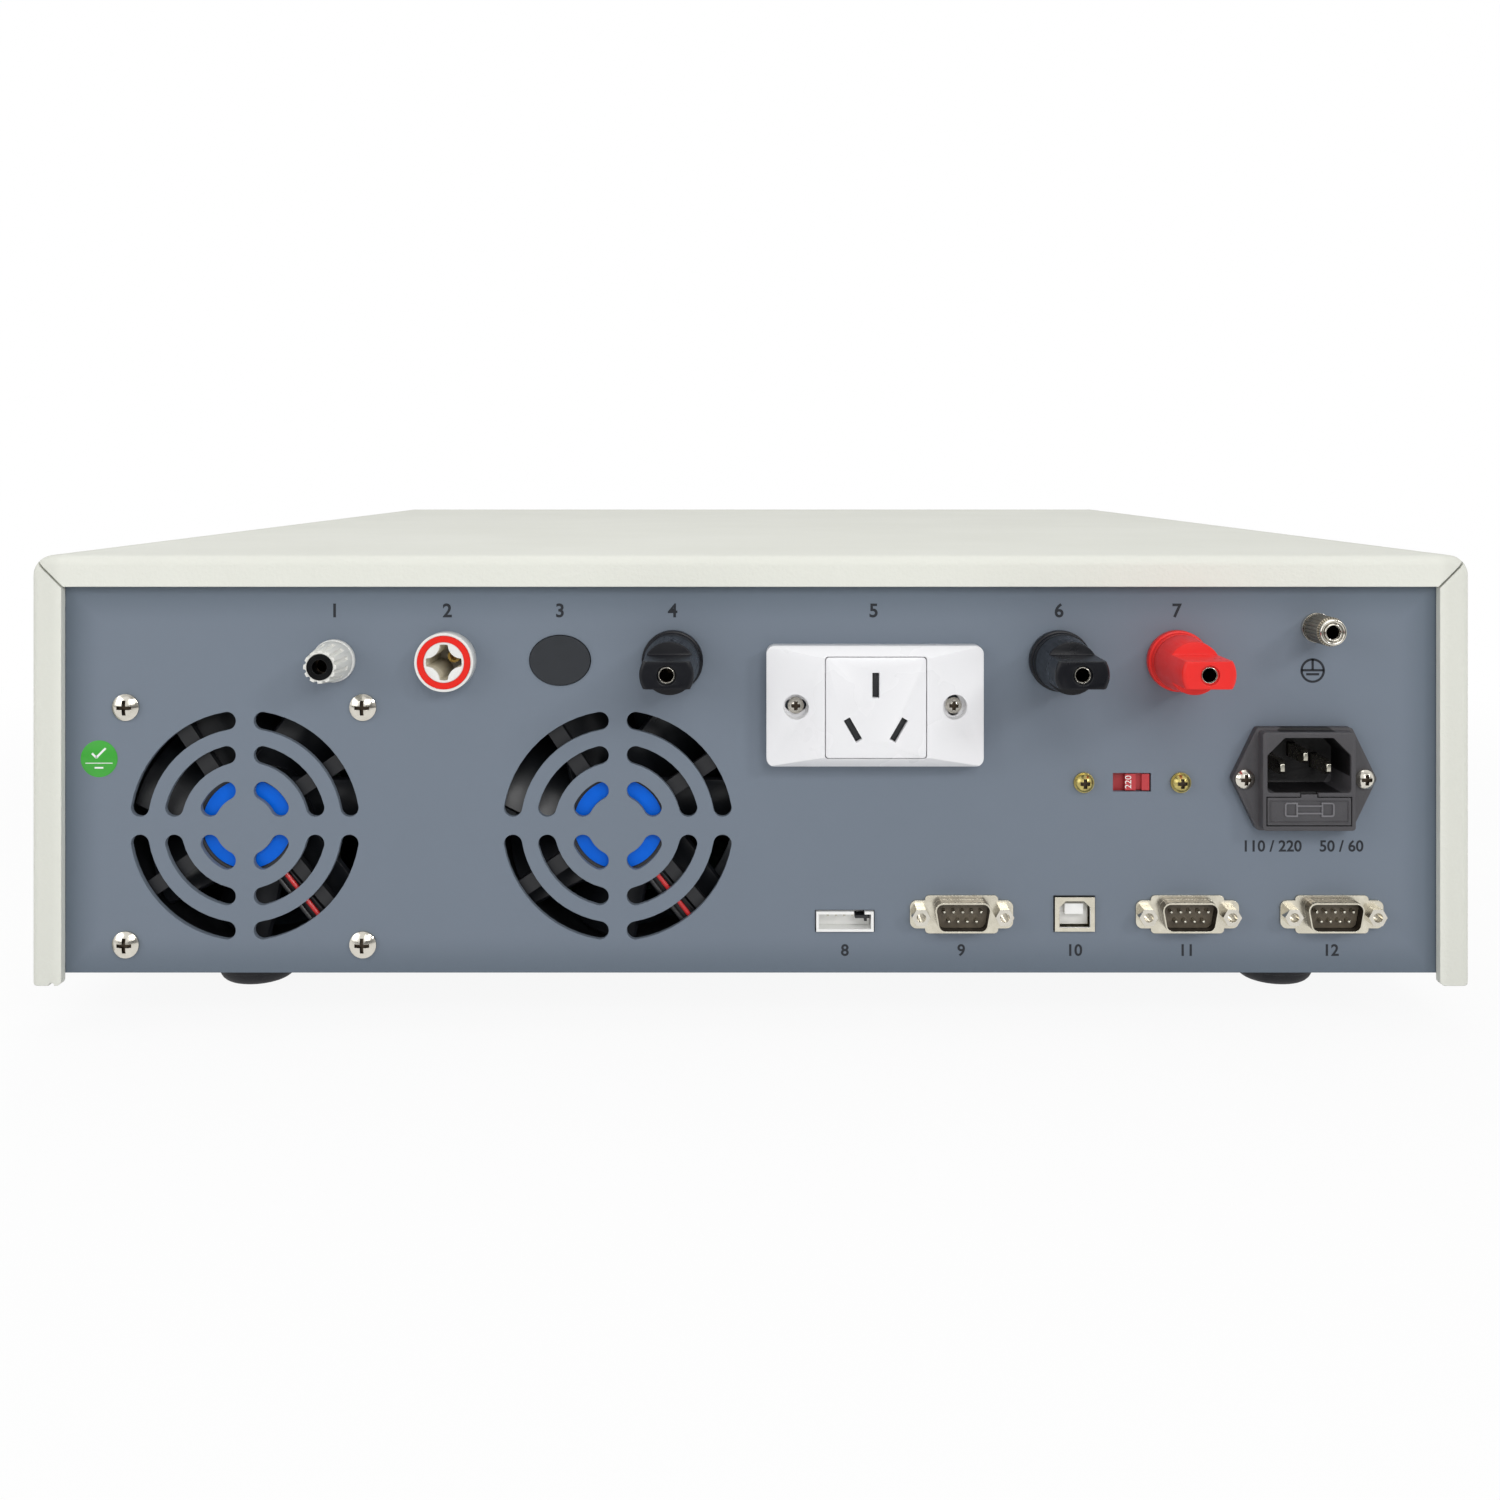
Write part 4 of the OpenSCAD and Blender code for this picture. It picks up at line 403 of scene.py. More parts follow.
    BUTTON_GREEN = Finish(
        "moulded_acrylic_green", "#2f9e44", "#278c3a", 0.22, 1.2, 0.008, 8, 0.4, coat=0.4)
    BUTTON_RED = Finish(
        "moulded_acrylic_red", "#d03a33", "#be302b", 0.22, 1.2, 0.008, 8, 0.4, coat=0.4)


# Modelling by hand


class Face(Enum):
    """The two faces that carry controls: turn about the vertical, level, outward, +across."""

    REAR = (0.0, CASE.y_panel, -1.0, 1.0)
    FRONT = (math.pi, CASE.y_face, 1.0, -1.0)


@dataclass(frozen=True)
class Spot:
    """A place on a face in millimetres: across to its right, height above the feet, outward."""

    across: float
    up: float
    out: float = 0.0
    face: Face = Face.REAR

    def moved(self, up: float, out: float = 0.0) -> "Spot":
        """A place above this one or further out."""
        return Spot(self.across, self.up + up, self.out + out, self.face)

    def matrix(self, roll: float = 0.0) -> Matrix:
        """The place with x across, y up and z outward, rolled anticlockwise by degrees."""
        turn, level, outward, side = self.face.value
        point = Vector((side * self.across, level + outward * self.out, self.up)) * MM
        return (Matrix.Translation(point) @ Matrix.Rotation(turn, 4, "Z")
                @ Matrix.Rotation(math.pi / 2, 4, "X")
                @ Matrix.Rotation(math.radians(roll), 4, "Z"))


Test = Callable[[Vector, Vector], bool]
# Edges flatter than these angles are shaded smooth, on new pieces and on softened copies.
SMOOTH_BELOW, SOFT_SMOOTH_BELOW = math.radians(35), math.radians(38)
# Height of a digit as a part of the font's size.
DIGIT_PART = 0.7


def focus(thing: Optional[bpy.types.Object] = None) -> None:
    """Leaves edit mode and selects one object alone as the active one, or none."""
    if bpy.context.object and bpy.context.object.mode != "OBJECT":
        bpy.ops.object.mode_set(mode="OBJECT")
    bpy.ops.object.select_all(action="DESELECT")
    if thing:
        thing.select_set(True)
        bpy.context.view_layer.objects.active = thing


def edit_all() -> None:
    """Enters edit mode with everything selected."""
    bpy.ops.object.mode_set(mode="EDIT")
    bpy.ops.mesh.select_all(action="SELECT")


def wear(mesh: bpy.types.Mesh, stock: Stock) -> None:
    """Gives a mesh one finish."""
    mesh.materials.clear()
    mesh.materials.append(stock.value.make())


def settle(thing: bpy.types.Object, stock: Stock, body: Body, replaces: str) -> None:
    """Dresses a piece and fixes it to its body.

    Args:
        thing: The piece.
        stock: Its finish.
        body: The body that it rides on.
        replaces: The CAD node that it stands for, or nothing.
    """
    wear(thing.data, stock)
    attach(thing, body.value)
    if replaces:
        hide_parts(replaces)
    LOG.info("piece %s on %s, %d faces", thing.name, body.value, len(thing.data.polygons))


class Work:
    """A piece being modelled at the origin in millimetres, z outward, until it is placed."""

    def __init__(self, name: str, add: Callable[..., Any], **size: Any) -> None:
        """Adds a primitive on its own.

        Args:
            name: The piece's name.
            add: The bpy.ops function that adds the primitive.
            size: The primitive's own settings, in millimetres.
        """
        focus()
        add(**size)
        self.thing = bpy.context.object
        self.thing.name = name
        bpy.ops.object.transform_apply(location=True, rotation=True, scale=True)

    def pick(self, test: Optional[Test] = None, edges: bool = False) -> int:
        """Selects faces or edges in edit mode by their place and direction.

        Args:
            test: Takes a centre in millimetres and a normal, or an edge's run. None picks all.
            edges: True to pick edges.

        Returns:
            How many are selected.
        """
        if bpy.context.object.mode == "EDIT":
            bpy.ops.object.mode_set(mode="OBJECT")
        mesh = self.thing.data
        for group in (mesh.vertices, mesh.edges, mesh.polygons):
            group.foreach_set("select", [False] * len(group))
        count = 0
        for part in mesh.edges if edges else mesh.polygons:
            if edges:
                a, b = (mesh.vertices[i].co for i in part.vertices)
                seat, way = (a + b) / 2, (b - a).normalized()
            else:
                seat, way = part.center, part.normal
            part.select = test is None or test(seat, way)
            count += part.select
        bpy.ops.object.mode_set(mode="EDIT")
        bpy.ops.mesh.select_mode(type="EDGE" if edges else "FACE")
        return count

    def extrude(self, test: Optional[Test], move: Triple, scale: Triple = (1, 1, 1)) -> "Work":
        """Extrudes the picked faces, then moves and scales the new ones."""
        self.pick(test)
        bpy.ops.mesh.extrude_region_move(TRANSFORM_OT_translate={"value": move})
        if scale != (1, 1, 1):
            bpy.ops.transform.resize(value=scale)
        return self

    def inset(self, test: Optional[Test], thickness: float, depth: float = 0.0) -> "Work":
        """Insets the picked faces as one region."""
        self.pick(test)
        bpy.ops.mesh.inset(thickness=thickness, depth=depth)
        return self

    def bevel(self, test: Test, width: float, segments: int) -> "Work":
        """Rounds the picked edges."""
        if self.pick(test, edges=True):
            bpy.ops.mesh.bevel(offset=width, segments=segments, affect="EDGES",
                               offset_type="OFFSET", clamp_overlap=True)
        return self

    def round_top(self, level: float, width: float, segments: int = 2) -> "Work":
        """Rounds the level edges that stand above a level."""
        return self.bevel(lambda c, run: c.z > level and abs(run.z) < 0.1, width, segments)

    def add(self, other: "Work") -> "Work":
        """Joins another piece into this one."""
        focus(self.thing)
        other.thing.select_set(True)
        bpy.ops.object.join()
        return self

    def place(self, spot: Spot, roll: float = 0.0) -> "Work":
        """Puts the piece on its spot in metres, with its place in its mesh."""
        focus(self.thing)
        self.thing.data.transform(spot.matrix(roll) @ Matrix.Scale(MM, 4))
        return self

    def finish(self, stock: Stock, body: Body = Body.CASE, replaces: str = "",
               slot: str = "") -> None:
        """Cleans the mesh, dresses it and fixes it to its body.

        Args:
            stock: Its finish.
            body: The body that it rides on.
            replaces: The CAD node that it stands for.
            slot: The record's material slot; not used.
        """
        focus(self.thing)
        edit_all()
        bpy.ops.mesh.remove_doubles(threshold=1e-6)
        bpy.ops.mesh.normals_make_consistent(inside=False)
        bpy.ops.object.mode_set(mode="OBJECT")
        bpy.ops.object.shade_smooth_by_angle(angle=SMOOTH_BELOW)
        settle(self.thing, stock, body, replaces)


def lathe(name: str, profile: Sequence[Pair], steps: int = 64) -> Work:
    """Turns a profile about the outward axis with the spin tool.

    Args:
        name: The piece's name.
        profile: Radius and height pairs in millimetres, closed from the last to the first.
        steps: Flats round the turn.

    Returns:
        The turned piece at the origin.
    """
    work = Work(name, bpy.ops.mesh.primitive_plane_add, size=1.0)
    edit_all()
    bpy.ops.mesh.merge(type="CENTER")
    bpy.ops.mesh.select_mode(type="VERT")
    edit_all()
    last = profile[0]
    bpy.ops.transform.translate(value=(last[0], 0.0, last[1]))
    for r, h in (*profile[1:], profile[0]):
        bpy.ops.mesh.extrude_vertices_move(
            TRANSFORM_OT_translate={"value": (r - last[0], 0.0, h - last[1])})
        last = (r, h)
    edit_all()
    bpy.ops.mesh.spin(steps=steps, angle=2 * math.pi, center=(0, 0, 0), axis=(0, 0, 1))
    edit_all()
    bpy.ops.mesh.remove_doubles(threshold=0.001)
    return work


def cylinder(name: str, radius: float, low: float, high: float, sides: int) -> Work:
    """A round bar standing outward from low to high."""
    return Work(name, bpy.ops.mesh.primitive_cylinder_add, vertices=sides, radius=radius,
                depth=high - low, location=(0.0, 0.0, (low + high) / 2))


def bar(name: str, width: float, height: float, low: float, high: float, across: float = 0.0,
        up: float = 0.0, roll: float = 0.0) -> Work:
    """A block standing outward from low to high."""
    return Work(name, bpy.ops.mesh.primitive_cube_add, size=1.0,
                location=(across, up, (low + high) / 2), rotation=(0, 0, math.radians(roll)),
                scale=(width, height, high - low))


def flat_frame(name: str, width: float, height: float, line: float, high: float) -> Work:
    """A flat rectangular frame, its sides line wide, standing outward from zero to high."""
    work = Work(name, bpy.ops.mesh.primitive_plane_add, size=1.0)
    work.pick()
    # The plane's own scale setting is not applied to its mesh.
    bpy.ops.transform.resize(value=(width, height, 1.0), center_override=(0.0, 0.0, 0.0))
    work.inset(None, line)
    work.pick(lambda c, n: abs(c.x) < 1e-3 and abs(c.y) < 1e-3)
    bpy.ops.mesh.delete(type="FACE")
    return work.extrude(None, (0, 0, high))


def lettering(name: str, text: str, size: float, depth: float = 0.03,
              bold: float = 0.0) -> Work:
    """Flat digits or signs as a thin solid, centred on the origin.

    Args:
        name: The piece's name.
        text: The generic digits or signs.
        size: Height of a digit in millimetres.
        depth: Thickness of the print.
        bold: How much each stroke is widened on either side.

    Returns:
        The digits as a mesh.
    """
    def add() -> None:
        """Adds the digits and turns them into a mesh."""
        bpy.ops.object.text_add()
        curve = bpy.context.object.data
        curve.body, curve.align_x, curve.align_y = text, "CENTER", "CENTER"
        curve.size, curve.extrude, curve.offset = size / DIGIT_PART, depth / 2, bold
        curve.resolution_u = 4
        bpy.ops.object.convert(target="MESH")
    return Work(name, add)


def off_axis(centre: Vector, axes: Iterable[Pair]) -> float:
    """Distance in millimetres from the nearest of some axes that run front to back."""
    return min(math.hypot(centre.x - x, centre.z - z) for x, z in axes)


def dress(stock: Stock, node: str) -> None:
    """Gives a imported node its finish."""
    wear(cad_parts[node].data, stock)
    LOG.info("dressed %s in %s", node, stock.value.name)


def dress_part(stock: Stock, node: str, test: Test) -> None:
    """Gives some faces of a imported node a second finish.

    Args:
        stock: The finish of those faces.
        node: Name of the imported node, already dressed.
        test: Takes a face's centre in millimetres, in the model's frame, and its normal.
    """
    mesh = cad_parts[node].data
    mesh.materials.append(stock.value.make())
    slot, count = len(mesh.materials) - 1, 0
    for face in mesh.polygons:
        if test(face.center / MM, face.normal):
            face.material_index = slot
            count += 1
    LOG.info("dressed %d faces of %s in %s", count, node, stock.value.name)


def dress_crosses(node: str, axes: list[Pair], reach: float = 1.7) -> None:
    """Paints shade on the walls and floors of the crosses in the screw heads round some axes."""
    dress_part(Stock.RECESS, node, lambda c, n: off_axis(c, axes) < reach
               and (abs(n.y) < 0.3 or n.y < -0.999))


def soften(name: str, stock: Stock, edge: float, segments: int = 2,
           body: Body = Body.CASE, angle: float = 40.0) -> None:
    """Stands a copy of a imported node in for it, with its sharp edges really rounded.

    Args:
        name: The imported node.
        stock: Its finish.
        edge: Width of the rounded edges in millimetres.
        segments: Flats across each rounded edge.
        body: The body that it rides on.
        angle: Edges sharper than this many degrees are rounded.
    """
    copy = bpy.data.objects.new(name + "_soft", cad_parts[name].data.copy())
    bpy.context.scene.collection.objects.link(copy)
    focus(copy)
    edit_all()
    bpy.ops.mesh.remove_doubles(threshold=2e-6)
    bpy.ops.mesh.dissolve_limited(angle_limit=math.radians(1.0))
    bpy.ops.mesh.customdata_custom_splitnormals_clear()
    bpy.ops.object.mode_set(mode="OBJECT")
    made = copy.modifiers.new("bevel", "BEVEL")
    made.width, made.segments = edge * MM, segments
    made.limit_method, made.angle_limit = "ANGLE", math.radians(angle)
    made.harden_normals, made.use_clamp_overlap = False, True
    bpy.ops.object.modifier_apply(modifier=made.name)
    bpy.ops.object.shade_smooth_by_angle(angle=SOFT_SMOOTH_BELOW)
    settle(copy, stock, body, name)


# The case


class Assembly:
    """A sub-assembly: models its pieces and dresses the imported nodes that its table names."""

    finishes: dict[Stock, tuple[str, ...]] = {}

    def build(self) -> None:
        """Models the pieces, dresses the nodes and then some of their faces."""
        self.model()
        for stock, nodes in self.finishes.items():
            for node in nodes:
                dress(stock, node)
        self.detail()

    def model(self) -> None:
        """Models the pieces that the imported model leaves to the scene."""

    def detail(self) -> None:
        """Gives some faces of the dressed nodes a second finish."""


class Cover(Assembly):
    """Folded cover, tray, bezel, feet and their screws."""

    finishes = {
        Stock.COVER_POWDER: ("top_cover", "front_bezel"), Stock.PANEL_POWDER: ("bottom_tray",),
        Stock.RUBBER: ("rubber_feet",), Stock.NICKEL: ("cover_screws", "foot_screws")}


@dataclass
class RearPanel(Assembly):
    """Painted rear panel with its printed marks and the round inspection sticker."""

    upper_marks: tuple[float, ...] = (-125.5, -91.5, -57.5, -23.5, 37.1, 93.0, 128.5)
    lower_marks: tuple[float, ...] = (28.4, 63.5, 97.6, 131.5, 175.0)
    upper_z: float = 127.0
    lower_z: float = 24.6
    upper_size: float = 4.0
    lower_size: float = 3.4
    ink: float = 0.03
    supply: Pair = (166.5, 56.0)
    supply_size: float = 3.3
    sign: Pair = (169.5, 109.1)
    sign_r: float = 3.7
    sign_line: float = 0.7
    sticker: Pair = (-196.5, 82.5)
    sticker_r: float = 5.55
    film: float = 0.12

    finishes = {Stock.PANEL_POWDER: ("rear_panel",)}

    def model(self) -> None:
        """Numbers, the earth sign and the sticker."""
        self.numbers()
        self.earth_sign()
        self.inspection_sticker()

    def numbers(self) -> None:
        """Plain generic numbers where the terminals' and ports' names are printed."""
        for marks, up, size, first in ((self.upper_marks, self.upper_z, self.upper_size, 1),
                                       (self.lower_marks, self.lower_z, self.lower_size, 8)):
            for i, across in enumerate(marks, first):
                lettering(f"printed_number_{i}", str(i), size, self.ink, size * 0.034).place(
                    Spot(across, up, self.ink / 2)).finish(Stock.INK)
        lettering("printed_supply_numbers", "110 / 220    50 / 60", self.supply_size, self.ink,
                  0.1).place(Spot(*self.supply, self.ink / 2)).finish(Stock.INK)

    def earth_sign(self) -> None:
        """The earth sign: a ring, a stem and two bars."""
        r, line = self.sign_r, self.sign_line
        ring = lathe("earth_sign", [(r - line, 0), (r, 0), (r, self.ink), (r - line, self.ink)])
        for width, height, up in ((line, r - 0.4, r / 2), (2 * r - 0.6, line, 0.1),
                                  (3.9, line, -1.1)):
            ring.add(bar("mark", width, height, 0, self.ink, up=up))
        ring.place(Spot(*self.sign, 0.004)).finish(Stock.INK)

    def inspection_sticker(self) -> None:
        """A round green sticker, its edge a little rounded, with a plain tick and two lines."""
        spot, low = Spot(*self.sticker), self.film
        cylinder("round_sticker", self.sticker_r, 0, low, 64).round_top(0.1, 0.04).place(
            spot).finish(Stock.STICKER_GREEN)
        tick = bar("sticker_tick", 1.9, 0.6, low, low + 0.04, -1.45, 1.0, -45)
        for width, height, across, up, roll in (
                (4.1, 0.6, 0.55, 1.75, 45), (8.2, 0.22, 0.0, -1.3, 0), (2.6, 0.5, 0.0, -2.7, 0)):
            tick.add(bar("mark", width, height, low, low + 0.04, across, up, roll))
        tick.place(spot).finish(Stock.WHITE_INK)


@dataclass
class FrontSet(Assembly):
    """The operator's front: touch window, two push buttons and the power rocker."""

    buttons: tuple[tuple[str, float, str], ...] = (("start", 72.0, "1"), ("stop", 116.0, "0"))
    button_z: float = 101.5
    button_r: float = 11.0
    number_z: float = 82.2
    lamps: tuple[float, ...] = (60.0, 77.0, 94.0, 111.0, 128.0)
    lamp_z: float = 66.0
    rocker: Pair = (178.0, 57.5)
    display: Pair = (-88.0, 79.5)
    display_size: Pair = (158.0, 92.0)
    ink: float = 0.03

    finishes = {
        Stock.FRONT_POWDER: ("front_panel",), Stock.TOUCH_GLASS: ("display_window",),
        Stock.ZINC_SHEET: ("display_module",), Stock.BUTTON_GREEN: ("start_button",),
        Stock.BUTTON_RED: ("stop_button",), Stock.ROCKER: ("rocker_frame", "power_rocker")}

    def model(self) -> None:
        """Button rings, marks, status lamps and the window's frame."""
        r = self.button_r
        for name, across, _ in self.buttons:
            lathe(f"{name}_button_ring", [
                (r + 0.6, 0), (r + 4.2, 0), (r + 4.2, 0.8), (r + 3.4, 1.6), (r + 1.2, 1.6),
                (r + 0.6, 1.1)]).place(
                Spot(across, self.button_z, 0.0, Face.FRONT)).finish(Stock.NICKEL)
        for i, across in enumerate(self.lamps, 1):
            spot = Spot(across, self.lamp_z, 0.0, Face.FRONT)
            cylinder(f"status_lamp_{i}", 1.5, -0.5, 0.7, 32).round_top(0.6, 0.4, 3).place(
                spot).finish(Stock.BUTTON_GREEN if i < 4 else Stock.BUTTON_RED)
            lettering(f"lamp_number_{i}", str(i), 2.6).place(
                spot.moved(-5.0, self.ink / 2)).finish(Stock.PALE_INK)
        for name, across, number in self.buttons:
            lettering(f"{name}_number", number, 3.4).place(
                Spot(across, self.number_z, self.ink / 2, Face.FRONT)).finish(Stock.PALE_INK)
        self.window_frame()
        self.rocker_signs()

    def window_frame(self) -> None:
        """A rubber gasket round the touch window and a printed line inside its edge."""
        width, height = self.display_size
        spot = Spot(*self.display, 0.0, Face.FRONT)
        flat_frame("window_gasket", width + 3, height + 3, 1.6, 0.5).round_top(
            0.45, 0.3, 3).place(spot).finish(Stock.RUBBER)
        flat_frame("window_line", width - 12, height - 12, 0.4, self.ink).place(spot).finish(
            Stock.PALE_INK)

    def rocker_signs(self) -> None:
        """The generic on and off signs on the rocker's two halves."""
        spot = Spot(*self.rocker, 0.0, Face.FRONT)
        # At rest the upper half leans 20 degrees outward and the lower half lies level.
        Work("rocker_on_sign", bpy.ops.mesh.primitive_cube_add, size=1.0,
             location=(0.0, 5.0, 4.08), rotation=(math.radians(20), 0, 0),
             scale=(0.9, 4.2, 0.06)).place(spot).finish(Stock.WHITE_INK, Body.ROCKER)
        lathe("rocker_off_sign", [(1.7, 1.92), (2.4, 1.92), (2.4, 1.98), (1.7, 1.98)],
              40).place(spot.moved(-6.0)).finish(Stock.WHITE_INK, Body.ROCKER)


# Fans and terminals


@dataclass
class Fans(Assembly):
    """Two axial fans behind the grille: hub labels, hub rims, leads and screws."""

    centres: Pair = (-152.6, -40.1)
    face: float = -2.6
    label_r: float = 13.6
    hub_r: float = 17.0
    lead_d: float = 1.4
    lead_from: float = 17.3
    lead_to: float = 40.5
    lead_level: float = -3.2
    lead_end: float = -54.0
    lead_angle: float = 308.4
    lead_bend: float = 1.6
    strut_angle: float = 310.2
    strut_side: float = 3.36
    strut_w: float = 3.8
    strut_span: Pair = (21.0, 27.4)
    strut_foot: float = -6.0
    strut_top: float = -2.8
    rib_top: float = -2.5
    rib_w: float = 0.3
    rib_gap: float = 0.85
    screw_step: float = 35.75
    screw_d: float = 8.1

    finishes = {
        Stock.FAN_FRAME: ("fan_frames",), Stock.FAN_BLADE: ("fan_rotor_1", "fan_rotor_2"),
        Stock.NICKEL: ("fan_screws",), Stock.GALVANISED: ("fan_bracket",)}

    def model(self) -> None:
        """Labels, raised hub rims, the wire guides and the two-colour leads."""
        low, rim, inner, outer = self.face, self.face + 0.3, self.label_r, self.hub_r
        for i, across in enumerate(self.centres, 1):
            spot = Spot(across, CASE.z_fan)
            cylinder(f"fan_{i}_hub_label", inner, low, low + 0.12, 64).inset(
                lambda c, n: n.z > 0.9, 0.35, 0.03).place(spot).finish(Stock.HUB_LABEL)
            lathe(f"fan_{i}_hub_rim", [
                (inner + 0.3, low), (outer, low), (outer, rim - 0.15), (outer - 0.3, rim),
                (inner + 0.6, rim), (inner + 0.3, rim - 0.2)]).place(spot).finish(Stock.FAN_FRAME)
            self.guide(i, spot)
        self.leads(-0.4, Stock.WIRE_RED, "red")
        self.leads(-3.0, Stock.WIRE_BLACK, "black")

    def guide(self, number: int, spot: Spot) -> None:
        """The lower strut's broad upper side and the thin rib that holds the wires to it."""
        length, middle = self.strut_span
        strut = bar(f"fan_{number}_wire_guide", length, self.strut_w, self.strut_foot,
                    self.strut_top, middle, self.strut_side)
        rib = bar("mark", length, self.rib_w, self.strut_foot, self.rib_top, middle,
                  self.strut_side - self.strut_w / 2 - self.rib_gap)
        # The rib is rounded all over and once more along its top. The strut keeps sharp edges.
        rib.bevel(lambda c, run: True, 0.12, 2).bevel(
            lambda c, run: c.z > self.strut_top - 0.2 and abs(run.x) > 0.9, 0.12, 2)
        strut.add(rib).place(spot, self.strut_angle).finish(Stock.FAN_FRAME)

    def leads(self, aside: float, stock: Stock, colour: str) -> None:
        """One wire of each fan: along the lower strut, a soft bend, then back to the board.

        Args:
            aside: How far the wire lies above the line from the fan's middle.
            stock: The insulation.
            colour: Word for the name.
        """
        bend, steps = self.lead_bend, 6
        turns = [math.pi / 2 * i / steps for i in range(steps + 1)]
        path = [(self.lead_from, self.lead_level),
                *((self.lead_to - bend + bend * math.sin(turn),
                   self.lead_level - bend + bend * math.cos(turn)) for turn in turns),
                (self.lead_to, self.lead_end)]

        def lay() -> None:
            """Adds the wire and turns it into a mesh."""
            curve = bpy.data.curves.new(f"fan_wires_{colour}", "CURVE")
            curve.dimensions, curve.bevel_depth = "3D", self.lead_d / 2
            curve.bevel_resolution, curve.use_fill_caps = 3, True
            line = curve.splines.new("POLY")
            line.points.add(len(path) - 1)
            for point, (r, out) in zip(line.points, path):
                point.co = (r, aside, out, 1.0)
            wire = bpy.data.objects.new(curve.name, curve)
            bpy.context.scene.collection.objects.link(wire)
            focus(wire)
            bpy.ops.object.convert(target="MESH")

        first, second = (Work(f"fan_wires_{colour}", lay).place(
            Spot(across, CASE.z_fan), self.lead_angle) for across in self.centres)
        first.add(second).finish(stock, replaces="fan_leads", slot="wire")

    def detail(self) -> None:
        """Painted shade in the crosses of the screw heads."""
        axes = [(across + a * self.screw_step, CASE.z_fan + b * self.screw_step)
                for across in self.centres for a in (-1, 1) for b in (-1, 1)]
        dress_part(Stock.RECESS, "fan_screws", lambda c, n: off_axis(c, axes) < 0.3 * self.screw_d
                   and (abs(n.y) < 0.3 or c.y > CASE.y_panel - 1.2))


@dataclass
class Terminals(Assembly):
    """Return jack, high voltage socket, blanking plug, three current posts and earth post."""

    posts: tuple[tuple[float, Body, Stock, str, str], ...] = (
        (-23.5, Body.LOW_KNOB, Stock.POST_BLACK, "current_low_knob", "post_black"),
        (93.0, Body.NEUTRAL_KNOB, Stock.POST_BLACK, "neutral_knob", "post_black"),
        (128.5, Body.LIVE_KNOB, Stock.POST_RED, "live_knob", "post_red"))
    return_across: float = -125.5
    earth_across: float = 170.4
    earth_out: float = 14.2
    bore_r: float = 2.05
    rim: tuple[Pair, ...] = (
        (2.03, 33.2), (2.3, 33.2), (2.3, 33.55), (2.22, 33.65), (2.1, 33.65), (2.03, 33.5))
    collar: tuple[Pair, ...] = (
        (2.34, 33.2), (2.69, 33.2), (2.69, 33.5), (2.6, 33.6), (2.34, 33.5))
    nut_rim: Pair = (2.92, 3.9)
    stem_rim: Pair = (2.04, 2.66)
    rim_high: float = 0.42

    finishes = {
        Stock.RING_RED: ("hv_socket_ring",), Stock.RING_BLACK: ("return_ring",),
        # The return jack's stem sits deep in its bore and wears painted shade all over.
        Stock.PLUG_GREY: ("blanking_plug",), Stock.SHELL_WALL: ("return_stem",),
        Stock.NICKEL: ("post_stems", "earth_stem", "earth_ring"),
        Stock.TURNED_BRASS: ("current_low_sleeve", "neutral_sleeve", "live_sleeve")}

    def model(self) -> None:
        """Softened knobs and caps, bright rims round the plug holes."""
        for across, body, stock, knob, slot in self.posts:
            soften(knob, stock, 0.55, 3, body)
            # Nickel-plated rim that the stem's nose shows inside the grip, and its collar.
            for name, metal, profile in (("rim", Stock.NICKEL, self.rim),
                                         ("collar", stock, self.collar)):
                lathe(f"{knob}_{name}", profile, 40).place(
                    Spot(across, CASE.z_row)).finish(metal)
        soften("post_bases", Stock.POST_BLACK, 0.4)
        soften("live_base", Stock.POST_RED, 0.4)
        soften("return_cap", Stock.CAP_WHITE, 0.3, body=Body.RETURN_CAP)
        soften("return_base", Stock.WHITE_NYLON, 0.4)
        soften("hv_socket_body", Stock.HV_WHITE, 0.35)
        soften("earth_nut", Stock.KNURLED_NICKEL, 0.12, 1, Body.EARTH_NUT)
        self.earth_nose()

    def earth_nose(self) -> None:
        """Polished rims at the earth post's nose, a groove between them."""
        turns = [math.pi * i / 8 for i in range(9)]
        for name, body, (inner, outer) in (("nut", Body.EARTH_NUT, self.nut_rim),
                                           ("stem", Body.CASE, self.stem_rim)):
            mid, half = (inner + outer) / 2, (outer - inner) / 2
            lathe(f"earth_{name}_rim", [
                (mid + half * math.cos(turn), self.earth_out + self.rim_high * math.sin(turn))
                for turn in turns], 56).place(
                Spot(self.earth_across, CASE.z_earth)).finish(Stock.NICKEL, body)

    def detail(self) -> None:
        """Painted shade in the bores."""
        axes = [(post[0], CASE.z_row) for post in self.posts]
        axes += [(self.earth_across, CASE.z_earth), (self.return_across, CASE.z_row)]
        for node in ("post_stems", "earth_stem", "return_stem"):
            dress_part(Stock.DARK_BORE, node, lambda c, n: off_axis(c, axes) < self.bore_r)


